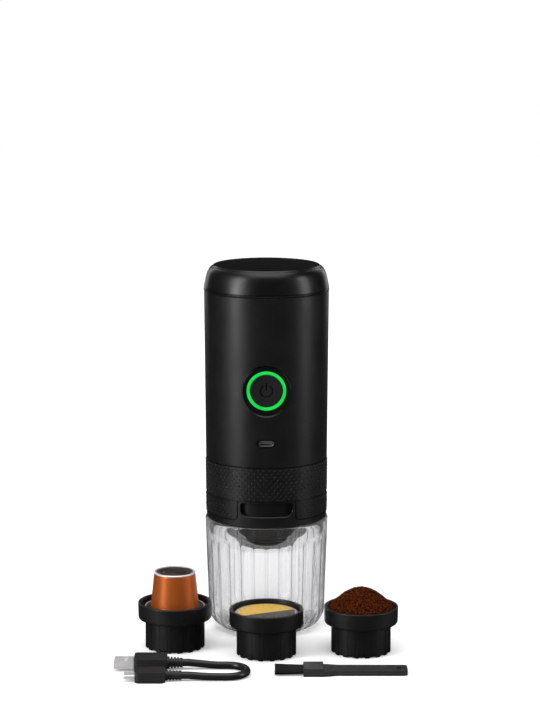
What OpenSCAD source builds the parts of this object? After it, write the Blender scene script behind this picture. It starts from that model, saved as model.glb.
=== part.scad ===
// Portable capsule coffee maker, standing on its cup, with its three adapters, cable and brush.
// Millimetres, +Z up. The origin is the centre of the cup's base on the table, and -Y is the front.

/* [Body] */
// Outer diameter at the shoulder
body_d = 78; // [76:0.5:84]
// How much narrower the body is at its base, on the diameter
body_taper = 2.4; // [0:0.2:4]
// Height of the smooth shell, from the upper seam to the shoulder
shell_h = 105.8; // [104:0.2:125]
// Height of the textured grip band
band_h = 21.4; // [20:0.2:30]
// Height of the base below the lower seam
base_h = 16.9; // [16:0.1:19]
// Wall of the shell
shell_wall = 2; // [1.8:0.1:2.4]
// Thickness of the silicone grip sleeves
sleeve_t = 1.6; // [1.2:0.1:2]
// Gap left at each seam
seam_gap = 0.3; // [0.2:0.05:0.5]
// Height of the smooth strip under the lower sleeve
strip_h = 4.5; // [3.5:0.1:5.5]
// Width of the smooth front panel
panel_w = 36; // [34:0.5:44]
// Radius where the front panel flares into the strip
panel_flare_r = 3; // [2:0.5:5]
// Width of the finger pocket
pocket_w = 32.7; // [26:0.1:33]
// Height of the finger pocket
pocket_h = 9.1; // [8.6:0.1:9.5]
// Depth of the finger pocket
pocket_depth = 3; // [2:0.1:4]
// Distance from the lower seam to the top of the pocket
pocket_drop = 0.9; // [0.6:0.1:1.5]

/* [Lid] */
// Height of the lid above the shoulder, to its rim
lid_h = 16.2; // [15.4:0.1:20]
// How far the lid's edge stands out past the body
lid_proud = 0.2; // [0:0.1:0.6]
// Width of the lid's ring round the inset disc
lid_ring_w = 7.6; // [7.2:0.1:10.8]
// Rise of the inset disc from its edge to its middle
lid_disc_rise = 1.8; // [1:0.1:2.4]
// Thickness of the inset disc at its edge
lid_disc_t = 1.8; // [1.4:0.1:2]
// Length of the threaded skirt below the lid's edge
skirt_l = 4.6; // [3.5:0.1:5]
// Wall of the threaded skirt
skirt_wall = 1; // [0.8:0.05:1.1]
// Thickness of the lid seal
lid_seal_t = 1.8; // [1.2:0.1:2.2]
// Thickness of the lid liner
liner_t = 1.6; // [1.2:0.1:2]

/* [Water tank] */
// Height of the threaded neck above the shoulder
neck_h = 7; // [6:0.1:7.5]
// Wall of the neck
neck_wall = 2; // [1.6:0.1:3]
// Inner radius of the tank's bowl
bowl_r = 28; // [25:0.5:30]
// Wall of the tank's bowl and floor
tank_wall = 2; // [1.6:0.1:2.5]
// Radius of the opening in the tank's floor
tank_hole_r = 21; // [16:0.5:22]
// Radius of the heating plate
heater_r = 25; // [24:0.5:28]
// Thickness of the heating plate
heater_t = 2; // [1.5:0.1:3]
// Thickness of the gasket between plate and tank
heater_gasket_t = 1; // [0.6:0.1:1.5]
// Room between the heating plate and the frame
heater_room = 2.4; // [2:0.1:4]

/* [Brewing chamber] */
// Height of the chamber without its spout
chamber_h = 30.9; // [29.9:0.1:33]
// How far the chamber's thread lies inside the edge of the body's base
thread_inset = 8; // [7.6:0.1:8.5]
// How far the chamber's lower cylinder lies inside its thread
chamber_step = 3.1; // [2.6:0.1:3.6]
// Wall of the lower cylinder
chamber_wall = 3.5; // [2.6:0.1:3.6]
// Height of the threaded flange
thread_h = 8.9; // [7:0.1:10]
// How far the chamber's neck lies inside its thread
chamber_neck_step = 1.6; // [1.2:0.1:1.9]
// Height of the chamber's neck
chamber_neck_h = 6.8; // [6:0.1:8]
// Thickness of the chamber's floor
chamber_floor = 2.5; // [2:0.1:3]
// How far the threaded flange stands up inside the base
flange_up = 2.9; // [2.5:0.1:3.5]
// How far the spout lies inside the lower cylinder
spout_step = 6.6; // [5.7:0.1:9.7]
// Height of the spout
spout_h = 6.7; // [5:0.1:8]
// Radius of the spout's outlet
outlet_r = 3; // [2:0.1:5]
// Thickness of the chamber seal
chamber_seal_t = 1.5; // [1:0.1:2]
// Thickness of the brew head
brew_head_t = 8; // [7:0.1:9]
// Number of piercing needles
needle_count = 6; // [3:1:9]
// Length of the piercing needles
needle_l = 3.5; // [2.5:0.1:4]

/* [Button and port] */
// Distance from the shoulder down to the button's centre
button_drop = 57.4; // [56:0.2:64]
// Radius of the button
button_r = 10.05; // [8:0.05:11]
// Width of the light ring
light_w = 2.3; // [1.5:0.1:3]
// Width of the bezel round the light ring
bezel_w = 2.3; // [1.6:0.1:2.5]
// Width of the dished edge that the shell has round the bezel
dish_w = 1.6; // [1:0.1:2.5]
// Travel of the button
button_travel = 0.6; // [0.3:0.05:0.8]
// Distance from the shoulder down to the charging port
usb_drop = 90.4; // [88:0.2:94]
// Width of the charging port's metal shell
usb_w = 8.94; // [8.94:0.01:9]
// Height of the charging port's metal shell
usb_t = 3.26; // [3.26:0.01:3.3]
// Width of the recess round the port
usb_recess_w = 12.9; // [12:0.1:14]
// Height of the recess round the port
usb_recess_t = 5.7; // [5:0.1:7]
// Depth of the recess round the port
usb_recess_depth = 1.2; // [0.8:0.1:1.4]

/* [Inside] */
// Radius of a battery cell
cell_r = 9.2; // [8.9:0.1:9.3]
// Length of a battery cell
cell_l = 65; // [60:0.5:66]
// Room above the cells, under the frame's upper plate
cell_room = 2.2; // [1:0.1:4]
// Gap between neighbouring cells
cell_gap = 0.23; // [0.1:0.01:0.6]
// Thickness of the frame's plates
frame_t = 2.2; // [1.8:0.1:3]
// Radius of the pump motor
motor_r = 12; // [10:0.5:12.5]
// Height of the pump motor
motor_h = 30; // [22:1:34]
// Height of the pump head
pump_h = 17; // [15:0.5:20]
// Width of the control board
board_w = 40; // [36:1:42]
// Thickness of the control board
board_t = 1.6; // [1:0.1:1.8]
// Outer radius of the water hoses
hose_r = 2.5; // [2:0.1:3]
// Bore radius of the water hoses
hose_bore_r = 1.4; // [1.2:0.1:1.6]

/* [Adapters] */
// Height of an adapter
adapter_h = 28.5; // [27:0.1:29.3]
// Radius of the adapter's rim
rim_r = 22.7; // [22.2:0.1:23]
// Height of the adapter's rim
rim_h = 10.3; // [8:0.1:13]
// Wall of the adapter's rim
rim_wall = 2.1; // [1.6:0.1:2.4]
// Distance from the rim's top down to the capsule seat
seat_drop = 3.5; // [2.5:0.1:5]
// Radius of the adapter's body under the rim
adapter_r = 18.3; // [17.8:0.1:19]
// Radius of the bore that a capsule's body goes into
capsule_bore_r = 15.3; // [15.2:0.05:15.6]
// Thickness of the adapter's floor
adapter_floor = 2; // [1.5:0.1:2.2]
// Number of ribs round the adapter's body
rib_count = 16; // [8:1:24]
// Width of a rib
rib_w = 1.8; // [1:0.1:3]
// Height of the feet in which the ribs end
foot_h = 1; // [0.5:0.1:1.5]

/* [Capsules and coffee] */
// Diameter of the capsule's flange
capsule_flange_d = 37; // [35:0.1:38]
// Diameter of the capsule's body at its flange
capsule_base_d = 29.4; // [28:0.1:30]
// Diameter of the capsule's closed end
capsule_top_d = 24.2; // [22:0.1:25]
// Height of the capsule
capsule_h = 22.5; // [20:0.1:23]
// Wall of the capsule and pod
capsule_wall = 0.5; // [0.3:0.05:0.8]
// Diameter of the pod's flange
pod_flange_d = 38.6; // [36:0.1:39.4]
// Diameter of the pod's body at its flange
pod_base_d = 30; // [28:0.1:30.2]
// Diameter of the pod's closed end
pod_top_d = 25; // [20:0.1:26]
// Height of the pod's body
pod_h = 17; // [14:0.5:20]
// Thickness of a flange
flange_t = 1; // [0.6:0.1:1.4]
// Thickness of a foil
foil_t = 0.3; // [0.2:0.05:0.5]
// Height of the coffee heap above the adapter's rim
heap_h = 11; // [6:0.5:14]

/* [Cup] */
// Height of the cup
cup_h = 71; // [66:0.5:80]
// How far the cup's rim stands out past the body's base
cup_proud = 0.9; // [0.6:0.1:1.7]
// How much narrower the cup is above its bottom curve than at its rim
cup_taper = 2.1; // [1.7:0.1:2.7]
// Radius of the cup's bottom curve
cup_curve_r = 12; // [9:0.5:13]
// Wall of the cup
cup_wall = 2.6; // [2.3:0.1:2.8]
// Number of flutes round the cup
flute_count = 28; // [20:1:32]
// Depth of a flute
flute_depth = 0.6; // [0.3:0.05:0.8]
// Height at which the flutes end under the rim
flute_top = 58; // [50:0.5:62]

/* [Cable] */
// Diameter of the cord
cord_d = 4.5; // [4:0.1:4.5]
// Length of the larger plug's metal shell
plug_a_shell_l = 12; // [11:0.1:14]
// Length of the larger plug's housing
plug_a_l = 19.6; // [17:0.1:22]
// Width of the larger plug's housing
plug_a_w = 15.8; // [14:0.1:16]
// Thickness of the larger plug's housing
plug_a_t = 8; // [7:0.1:8.5]
// Length of the smaller plug's metal shell
plug_c_shell_l = 6.5; // [6:0.1:7]
// Length of the smaller plug's housing
plug_c_l = 18; // [15:0.1:20]
// Width of the smaller plug's housing
plug_c_w = 12.4; // [11:0.1:13]
// Thickness of the smaller plug's housing
plug_c_t = 6.6; // [6:0.1:7]
// Length of each strain relief
relief_l = 9.4; // [7:0.1:12]

/* [Brush] */
// Length of the brush's handle
handle_l = 50; // [40:1:60]
// Width of the brush's handle
handle_w = 11.5; // [10:0.5:14]
// Radius of the corners at the handle's end
handle_corner_r = 2.4; // [1.5:0.1:4]
// Thickness of the brush's handle
handle_t = 3.6; // [2.8:0.1:4.4]
// Length of the brush's head
head_l = 12; // [9:0.5:15]
// Length over which the handle flares towards the head
head_flare_l = 10; // [8:0.5:14]
// Width of the brush's head
head_w = 15.5; // [14:0.5:18]
// Thickness of the brush's head
head_t = 5; // [4.6:0.1:6]
// Radius of the hanging hole
hang_hole_r = 2.2; // [1.6:0.1:2.6]
// Length of the bristles
bristle_l = 17; // [12:0.5:20]
// Number of bristle tufts
tuft_count = 4; // [3:1:4]
// Rings of bristles in a tuft
tuft_rings = 5; // [4:1:5]

/* [Places on the table] */
// Left adapter
left_at = [-56.4, -50];
// Front adapter
front_at = [0, -66];
// Right adapter
right_at = [58, -60];
// Tips of the brush's bristles
brush_at = [5, -107];

/* [Clearances] */
// Between curved faces of pieces that come apart
loose = 0.3; // [0.25:0.05:0.4]
// Between pieces that are fixed in each other
snug = 0.1; // [0.05:0.01:0.15]

/* [Hidden] */
$fn = 96;
eps = 0.01;

// Levels of the machine, from the table up
z_base = cup_h;
z_seam_low = z_base + base_h;
z_seam_up = z_seam_low + band_h;
z_shoulder = z_seam_up + shell_h;
z_neck = z_shoulder + neck_h;
z_button = z_shoulder - button_drop;
z_usb = z_shoulder - usb_drop;

// Outer radius of the body at a height, and the radii that follow from it
function body_r(z) = body_d / 2 - body_taper / 2 * (z_shoulder - z) / (z_shoulder - z_base);
shell_in_r = body_r(z_seam_up) - shell_wall;
lip_wall = shell_wall * 0.7;
lip_in_r = body_d / 2 - lip_wall;
skirt_out_r = lip_in_r - loose - snug;
skirt_in_r = skirt_out_r - skirt_wall;
neck_r = skirt_in_r - loose;
slot_depth = skirt_l + 0.6;

cup_rim_r = body_r(z_base) + cup_proud;
cup_low_r = cup_rim_r - cup_taper;

// Chamber levels
z_flange = z_base + flange_up;
z_chamber_top = z_flange + thread_h + chamber_neck_h;
z_chamber = z_chamber_top - chamber_h;
z_spout = z_chamber - spout_h;
thread_r = body_r(z_base) - thread_inset;
chamber_r = thread_r - chamber_step;
chamber_neck_r = thread_r - chamber_neck_step;
spout_r = chamber_r - spout_step;
chamber_in_r = chamber_r - chamber_wall;
chamber_neck_in_r = chamber_neck_r - 2;
z_brew_head = z_chamber_top + chamber_seal_t;

// Frame and tank levels
z_frame = z_brew_head + brew_head_t;
z_cells = z_frame + frame_t;
z_frame_top = z_cells + cell_l + cell_room;
z_heater = z_frame_top + frame_t + heater_room;
z_tank_floor = z_heater + heater_t + heater_gasket_t;
housing_in_r = body_r(z_base) - sleeve_t - 2;
frame_r = housing_in_r - loose;
screw_ring_r = frame_r - 2.8;
screw_angles = [13, 167, 200, 340];
cell_ring_r = frame_r - cell_r - 0.1;
cell_step = 2 * asin((cell_r + cell_gap / 2) / cell_ring_r);
hose_x = 20;
pump_r = motor_r + 1.2;
pump_y = cell_ring_r - cell_r - pump_r - 1.2;
z_pump_port = z_cells + pump_h - 6;
board_y = sqrt(pow(frame_r, 2) - pow(board_w / 2, 2)) - board_t - 0.37;

// Button and port depths, measured from the axis towards the front
light_in_r = button_r + loose;
light_r = light_in_r + light_w;
bezel_in_r = light_r + snug;
bezel_r = bezel_in_r + bezel_w;
face_y = body_r(z_button) - 1;
bezel_flange_r = bezel_r + 1.6;
bezel_back_y = sqrt(pow(shell_in_r, 2) - pow(bezel_flange_r, 2)) - loose;
button_back_y = face_y - 4;
switch_y = button_back_y - 1;
usb_face_y = body_r(z_usb) - usb_recess_depth;

// Adapter levels
rim_in_r = rim_r - rim_wall;
z_seat = adapter_h - seat_drop;

// Lid levels
z_lid_in = z_neck + lid_seal_t + liner_t + 0.2;
lid_r = body_d / 2 + lid_proud;
lid_disc_r = lid_r - lid_ring_w;

// Cable: the larger plug lies behind, the smaller one in front, and the cord loops to the right
plug_a_y = -98.5;
plug_c_y = -121.5;
plug_end_x = -50;
cord_route = [
    [-50, -98.5, 4], [-46, -98.5, 4], [-42, -98.5, 3.6], [-38, -98.5, 3.2], [-34, -98.5, 2.8],
    [-30, -98.5, 2.5], [-26.5, -98.5, 2.4], [-23, -98.5, 2.4], [-19.1, -99.2, 2.4],
    [-15.6, -101.2, 2.4], [-13, -104.3, 2.4], [-11.7, -108, 2.4], [-11.7, -112, 2.4],
    [-13, -115.7, 2.4], [-15.6, -118.8, 2.4], [-19.1, -120.8, 2.4], [-23, -121.5, 2.4],
    [-26.5, -121.5, 2.4], [-30, -121.5, 2.4], [-34, -121.5, 2.5], [-38, -121.5, 2.7],
    [-42, -121.5, 3], [-46, -121.5, 3.3], [-50, -121.5, 3.3]];
cord_sides = 10;

// Points of an arc in a flat outline
function arc(cx, cy, r, a0, a1, n = 8) =
    [for (i = [0:n]) [cx + r * cos(a0 + (a1 - a0) * i / n), cy + r * sin(a0 + (a1 - a0) * i / n)]];

// A ring of material between two radii
module tube(r_out, r_in, h) {
    difference() {
        cylinder(r = r_out, h = h);
        translate([0, 0, -1]) cylinder(r = r_in, h = h + 2);
    }
}

// A ring whose outside follows the body's taper between two heights
module body_skin(z0, z1, r_in, inset = 0) {
    rotate_extrude() polygon([[r_in, z0], [body_r(z0) - inset, z0],
        [body_r(z1) - inset, z1], [r_in, z1]]);
}

// Turns a flat outline in X and Z to stand across the front, from depth y0 to depth y1
module front_cut(y0, y1) {
    translate([0, -y0, 0]) rotate([90, 0, 0]) linear_extrude(height = y1 - y0) children();
}

module stadium(w, t) {
    union() {
        square([w - t, t], center = true);
        for (s = [-1, 1]) translate([s * (w - t) / 2, 0]) circle(d = t);
    }
}

module rounded_box(l, w, t, r) {
    hull() for (x = [r, l - r], y = [-w / 2 + r, w / 2 - r])
        translate([x, y, 0]) cylinder(r = r, h = t, $fn = 32);
}

// Outline of the smooth front panel, from the strip up to the lower seam
module panel_outline(grow = 0) {
    w = panel_w / 2 + grow;
    h = base_h - strip_h;
    flare_x = w + panel_flare_r;
    polygon(concat(
        [[w, h + 1], [-w, h + 1]],
        arc(-flare_x, panel_flare_r, panel_flare_r, 0, -90),
        [[-flare_x, -1], [flare_x, -1]],
        arc(flare_x, panel_flare_r, panel_flare_r, 270, 180)));
}

// Outline of the finger pocket, with its top edge at height 0
module pocket_outline() {
    top_r = 2;
    low_r = pocket_h / 2;
    top_x = pocket_w / 2 - top_r;
    low_x = pocket_w / 2 - low_r;
    polygon(concat(
        arc(top_x, -top_r, top_r, 0, 90),
        arc(-top_x, -top_r, top_r, 90, 180),
        arc(-low_x, low_r - pocket_h, low_r, 180, 270),
        arc(low_x, low_r - pocket_h, low_r, 270, 360)));
}

module cup() {
    edge = 0.4;
    foot_r = cup_low_r - cup_curve_r;
    in_curve = cup_curve_r - cup_wall / 2;
    in_low = cup_low_r - cup_wall;
    in_rim = cup_rim_r - cup_wall;
    flute_r = 1.4;
    lean = atan(cup_taper / (cup_h - cup_curve_r));
    color([0.9, 0.93, 0.95, 0.4]) difference() {
        rotate_extrude() polygon(concat(
            [[0, 0]],
            arc(foot_r, cup_curve_r, cup_curve_r, -90, 0),
            [[cup_rim_r, cup_h - edge], [cup_rim_r - edge, cup_h], [in_rim + edge, cup_h],
                [in_rim, cup_h - edge]],
            arc(in_low - in_curve, 3 + in_curve, in_curve, 0, -90),
            [[0, 3]]));
        for (i = [1:flute_count]) rotate([0, 0, i * 360 / flute_count])
            translate([cup_low_r + flute_r - flute_depth, 0, cup_curve_r]) rotate([0, lean, 0])
                translate([0, 0, -cup_curve_r]) cylinder(r = flute_r, h = flute_top);
    }
}

module base_housing() {
    edge = 0.8;
    spigot_top = z_seam_up + 3.6;
    collar_r = thread_r + loose;
    z_strip = z_base + strip_h;
    z_panel = z_seam_low - seam_gap;
    color([0.1, 0.1, 0.11]) difference() {
        rotate_extrude() polygon([
            [20, z_base], [body_r(z_base) - edge, z_base], [body_r(z_base), z_base + edge],
            [body_r(z_panel), z_panel], [body_r(z_panel) - sleeve_t - 2 * snug, z_panel],
            [body_r(z_seam_up) - sleeve_t - 2 * snug, z_seam_up], [shell_in_r - snug, z_seam_up],
            [shell_in_r - snug, spigot_top], [housing_in_r, spigot_top],
            [housing_in_r, z_brew_head], [20, z_brew_head]]);
        difference() {
            rotate_extrude() polygon([[body_r(z_strip) - sleeve_t - snug, z_strip], [60, z_strip],
                [60, z_panel + 1], [body_r(z_panel + 1) - sleeve_t - snug, z_panel + 1]]);
            translate([0, 0, z_strip]) front_cut(20, 70) panel_outline();
        }
        translate([0, 0, z_base - 1]) cylinder(r = collar_r, h = flange_up + thread_h + loose + 1);
        translate([0, 0, z_base]) cylinder(r = chamber_neck_r + loose, h = 40);
        difference() {
            translate([0, 0, z_seam_low - pocket_drop]) front_cut(20, 60) pocket_outline();
            cylinder(r = body_r(z_base) - pocket_depth, h = z_seam_up);
        }
        translate([0, 0, z_usb]) front_cut(20, 60) stadium(usb_recess_w, usb_recess_t);
        for (a = screw_angles) rotate([0, 0, a]) translate([screw_ring_r, 0, z_brew_head - 6])
            cylinder(r = 1.05, h = 7);
    }
}

module lower_grip_sleeve() {
    z0 = z_base + strip_h;
    color([0.14, 0.14, 0.15]) difference() {
        body_skin(z0, z_seam_low - seam_gap, 30);
        body_skin(z0 - 1, z_seam_low + 1, 20, sleeve_t);
        translate([0, 0, z0]) front_cut(10, 60) panel_outline(snug);
    }
}

module upper_grip_band() {
    color([0.14, 0.14, 0.15]) difference() {
        body_skin(z_seam_low, z_seam_up - seam_gap, 30);
        body_skin(z_seam_low - 1, z_seam_up + 1, 20, sleeve_t);
    }
}

module body_shell() {
    port_boss_w = usb_recess_w + 4;
    color([0.12, 0.12, 0.13]) difference() {
        union() {
            rotate_extrude() polygon([
                [shell_in_r, z_seam_up], [body_r(z_seam_up) - 0.4, z_seam_up],
                [body_r(z_seam_up), z_seam_up + 0.4], [body_d / 2, z_shoulder - 0.3],
                [body_d / 2 - 0.3, z_shoulder], [lip_in_r, z_shoulder],
                [lip_in_r, z_shoulder - slot_depth], [shell_in_r, z_shoulder - slot_depth]]);
            intersection() {
                body_skin(z_seam_up + 5, z_shoulder - 50, 30);
                translate([0, 0, z_usb]) front_cut(usb_face_y - 2.2, 45)
                    stadium(port_boss_w, usb_recess_t + 4);
            }
        }
        translate([0, 0, z_button]) front_cut(20, 60) circle(r = bezel_r + snug);
        translate([0, -face_y + 0.6, z_button]) rotate([90, 0, 0])
            cylinder(r1 = bezel_r + snug, r2 = bezel_r + snug + dish_w * 2, h = 3.2);
        translate([0, 0, z_usb]) front_cut(usb_face_y, 60) stadium(usb_recess_w, usb_recess_t);
        translate([0, 0, z_usb]) front_cut(20, 60) stadium(usb_w + 2 * snug, usb_t + 2 * snug);
    }
}

module water_tank() {
    neck_in = neck_r - neck_wall;
    z_slot = z_shoulder - slot_depth;
    z_ring = z_slot - 5;
    z_bowl = z_ring - (neck_in - bowl_r) - 1;
    color([0.09, 0.09, 0.1]) rotate_extrude() polygon([
        [neck_r - 0.4, z_neck], [neck_r, z_neck - 0.4], [neck_r, z_slot],
        [shell_in_r - snug, z_slot], [shell_in_r - snug, z_ring], [neck_r - 1, z_ring],
        [bowl_r + tank_wall, z_bowl], [bowl_r + tank_wall, z_tank_floor],
        [tank_hole_r, z_tank_floor], [tank_hole_r, z_tank_floor + tank_wall],
        [bowl_r, z_tank_floor + tank_wall], [bowl_r, z_bowl + 1], [neck_in, z_ring + 1],
        [neck_in, z_neck - 0.4], [neck_in + 0.4, z_neck]]);
}

module heater_gasket() {
    color([0.75, 0.25, 0.15]) translate([0, 0, z_tank_floor - heater_gasket_t])
        tube(heater_r - 0.5, tank_hole_r, heater_gasket_t);
}

module heating_plate() {
    nipple_l = heater_room + frame_t + 5;
    color([0.72, 0.73, 0.75]) difference() {
        union() {
            translate([0, 0, z_heater]) cylinder(r = heater_r, h = heater_t);
            translate([hose_x, 0, z_heater - nipple_l])
                cylinder(r = hose_bore_r - 0.05, h = nipple_l + eps);
        }
        translate([hose_x, 0, z_heater - nipple_l - 1]) cylinder(r = 0.8, h = nipple_l + heater_t + 2);
    }
}

module thermostat() {
    color([0.85, 0.82, 0.75]) translate([0, 0, z_heater - 5]) union() {
        cylinder(r = 5.5, h = 5);
        for (s = [-1, 1]) translate([s * 3, 0, -4]) translate([-1.5, -0.3, 0]) cube([3, 0.6, 4.1]);
    }
}

// Cells stand behind the pump, spread evenly about the rear
module at_cells() {
    for (i = [-1:1]) rotate([0, 0, 90 + i * cell_step]) translate([cell_ring_r, 0, 0]) children();
}

module inner_frame() {
    post_x = board_w / 2 - 5;
    room = z_frame_top - z_frame;
    holder_y = cell_ring_r * cos(cell_step) - cell_r * 0.6;
    color([0.25, 0.26, 0.28]) difference() {
        union() {
            translate([0, 0, z_frame]) cylinder(r = frame_r, h = frame_t);
            translate([0, 0, z_frame_top]) cylinder(r = frame_r, h = frame_t);
            for (s = [-1, 1]) translate([s * post_x - 3, -board_y, z_frame]) cube([6, 5, room + 1]);
            for (s = [-1, 1]) translate([s * (frame_r - 3) - 1.5, -4, z_frame]) cube([3, 8, room + 1]);
            intersection() {
                translate([0, 0, z_cells + cell_l - 6])
                    cylinder(r = frame_r - 0.6, h = z_frame_top - z_cells - cell_l + 7);
                translate([-frame_r, holder_y, z_cells]) cube([2 * frame_r, frame_r, z_neck]);
            }
        }
        at_cells() translate([0, 0, z_cells]) cylinder(r = cell_r + 0.2, h = cell_l + 0.2);
        translate([0, 0, z_button]) front_cut(bezel_back_y - 1.6, 60) circle(r = bezel_flange_r + 0.4);
        translate([0, 0, z_frame_top - 1]) cylinder(r = 9, h = frame_t + 2);
        translate([hose_x, 0, z_cells + 1]) cylinder(r = hose_r + 0.4, h = room);
        translate([-hose_x, 0, z_frame - 1]) cylinder(r = hose_r + 0.4, h = frame_t + 2);
        for (a = screw_angles) rotate([0, 0, a]) translate([screw_ring_r, 0, z_frame - 1])
            cylinder(r = 1.2, h = frame_t + 2);
        for (s = [-1, 1], z = [z_frame + 8, z_frame_top - 8])
            translate([s * post_x, -board_y - 1, z]) rotate([-90, 0, 0]) cylinder(r = 0.85, h = 5);
    }
}

module battery_cells() {
    color([0.2, 0.45, 0.75]) at_cells() translate([0, 0, z_cells]) union() {
        cylinder(r = cell_r, h = cell_l - 1);
        cylinder(r = 3.5, h = cell_l);
    }
}

module pump_head() {
    color([0.9, 0.9, 0.88]) translate([0, pump_y, z_cells]) union() {
        cylinder(r = pump_r, h = pump_h - 3);
        translate([0, 0, pump_h - 3 - eps]) cylinder(r = pump_r - 2.5, h = 3 + eps);
        for (s = [-1, 1]) translate([0, -pump_y, z_pump_port - z_cells]) rotate([0, s * 90, 0])
            cylinder(r = hose_bore_r - 0.05, h = pump_r + 3);
    }
}

module pump_motor() {
    color([0.7, 0.7, 0.72]) translate([0, pump_y, z_cells + pump_h]) union() {
        cylinder(r = motor_r, h = motor_h);
        translate([0, 0, motor_h - eps]) cylinder(r = 4, h = 2);
    }
}

// The end of a hose: a moulded elbow at hose_x and the stub that grips the pump's port
module hose_elbow() {
    elbow_r = hose_r + 0.6;
    translate([hose_x, 0, z_pump_port - elbow_r]) cylinder(r = elbow_r, h = 2 * elbow_r);
    translate([pump_r + loose, 0, z_pump_port]) rotate([0, 90, 0])
        cylinder(r = hose_r, h = hose_x - pump_r - loose);
}

module hose_port_bore() {
    translate([pump_r, 0, z_pump_port]) rotate([0, 90, 0]) cylinder(r = hose_bore_r, h = 3.4);
}

module suction_hose() {
    z1 = z_frame_top + frame_t + 1;
    color([0.92, 0.92, 0.9]) difference() {
        union() {
            hose_elbow();
            translate([hose_x, 0, z_pump_port]) cylinder(r = hose_r, h = z1 - z_pump_port);
        }
        hose_port_bore();
        translate([hose_x, 0, z1 - 8.5]) cylinder(r = hose_bore_r, h = 9.5);
    }
}

module pressure_hose() {
    z0 = z_frame + 0.3;
    color([0.92, 0.92, 0.9]) mirror([1, 0, 0]) difference() {
        union() {
            hose_elbow();
            translate([hose_x, 0, z0]) cylinder(r = hose_r, h = z_pump_port - z0);
        }
        hose_port_bore();
        translate([hose_x, 0, z_frame]) cylinder(r = hose_bore_r, h = 4.6);
    }
}

module control_board() {
    z0 = z_cells + 1;
    h = z_frame_top - z0 - 1;
    post_x = board_w / 2 - 5;
    color([0.05, 0.35, 0.18]) difference() {
        union() {
            translate([-board_w / 2, -board_y - board_t, z0]) cube([board_w, board_t, h]);
            translate([-4, -board_y - eps, z0 + 10]) cube([8, 1.2, 8]);
            translate([-8, -board_y - eps, z0 + 24]) cube([6, 4, 6]);
            translate([3, -board_y - eps, z0 + 30]) rotate([-90, 0, 0]) cylinder(r = 3, h = 5);
            translate([-9, -board_y - eps, z0 + 42]) cube([18, 5, 5]);
            translate([-14, -board_y - board_t - 1, z0 + 30]) cube([6, 1 + eps, 9]);
        }
        for (s = [-1, 1], z = [z_frame + 8, z_frame_top - 8])
            translate([s * post_x, -board_y + 1, z]) rotate([90, 0, 0])
                cylinder(r = 1.1, h = board_t + 2);
    }
}

module tact_switch() {
    d = board_y + board_t;
    color([0.6, 0.6, 0.62]) translate([0, -d, z_button]) union() {
        translate([-3, -3.5, -3]) cube([6, 3.5, 6]);
        rotate([90, 0, 0]) cylinder(r = 1.75, h = switch_y - d);
    }
}

module usb_receptacle() {
    d = board_y + board_t;
    color([0.75, 0.76, 0.78]) translate([0, 0, z_usb]) difference() {
        front_cut(d, usb_face_y - 0.2) stadium(usb_w, usb_t);
        difference() {
            front_cut(d + 3, 60) stadium(usb_w - 0.6, usb_t - 0.6);
            translate([0, -d - 3, 0]) translate([-3.35, -5.2, -0.35]) cube([6.7, 5.2, 0.7]);
        }
    }
}

module button_bezel() {
    color([0.05, 0.05, 0.06]) translate([0, 0, z_button]) difference() {
        union() {
            front_cut(bezel_back_y - 1.2, face_y - 0.2) circle(r = bezel_r);
            front_cut(bezel_back_y - 1.2, bezel_back_y) circle(r = bezel_flange_r);
        }
        front_cut(bezel_back_y, 60) circle(r = bezel_in_r);
        front_cut(20, 60) circle(r = light_in_r);
    }
}

module light_ring() {
    color([0.1, 0.85, 0.35]) translate([0, 0, z_button]) difference() {
        front_cut(bezel_back_y, face_y + 0.2) circle(r = light_r);
        front_cut(20, 60) circle(r = light_in_r);
    }
}

module power_button() {
    stem_y = switch_y + button_travel + 0.1;
    color([0.1, 0.1, 0.11]) translate([0, 0, z_button]) union() {
        difference() {
            front_cut(button_back_y, face_y + 0.1) circle(r = button_r);
            translate([0, -face_y - 79.4, 0]) sphere(r = 80, $fn = 200);
        }
        front_cut(stem_y, button_back_y + 1) circle(r = 2.5);
    }
}

module brew_head() {
    color([0.2, 0.2, 0.22]) difference() {
        union() {
            translate([0, 0, z_brew_head]) cylinder(r = frame_r, h = brew_head_t);
            translate([-hose_x, 0, z_frame - eps]) cylinder(r = hose_bore_r - 0.05, h = 4);
        }
        translate([0, 0, z_brew_head - 1]) cylinder(r = chamber_neck_in_r - 2, h = 2.4);
        translate([0, 0, z_brew_head - 1]) cylinder(r = 2, h = 5);
        translate([-hose_x, 0, z_brew_head + 3]) cylinder(r = 0.8, h = brew_head_t + 4);
        translate([-hose_x, 0, z_brew_head + 3.6]) rotate([0, 90, 0]) cylinder(r = 0.8, h = hose_x);
        for (a = screw_angles) rotate([0, 0, a]) translate([screw_ring_r, 0, z_brew_head - 1])
            cylinder(r = 1.2, h = brew_head_t + 2);
    }
}

module needle_plate() {
    plate_r = chamber_neck_in_r - 2 - snug;
    color([0.78, 0.79, 0.8]) translate([0, 0, z_brew_head + 0.2]) difference() {
        union() {
            cylinder(r = plate_r, h = 1.2);
            for (i = [1:needle_count]) rotate([0, 0, i * 360 / needle_count])
                translate([9, 0, -needle_l]) cylinder(r1 = 0.2, r2 = 1.1, h = needle_l + eps);
        }
        translate([0, 0, -1]) cylinder(r = 1.6, h = 4);
    }
}

module frame_screws() {
    color([0.6, 0.6, 0.62]) for (a = screw_angles) rotate([0, 0, a])
        translate([screw_ring_r, 0, 0]) union() {
            translate([0, 0, z_brew_head - 5]) cylinder(r = 1, h = z_cells - z_brew_head + 5 + eps);
            difference() {
                translate([0, 0, z_cells]) cylinder(r = 1.9, h = 1.4);
                translate([0, 0, z_cells + 0.7]) cylinder(r = 0.9, h = 1);
            }
        }
}

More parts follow.
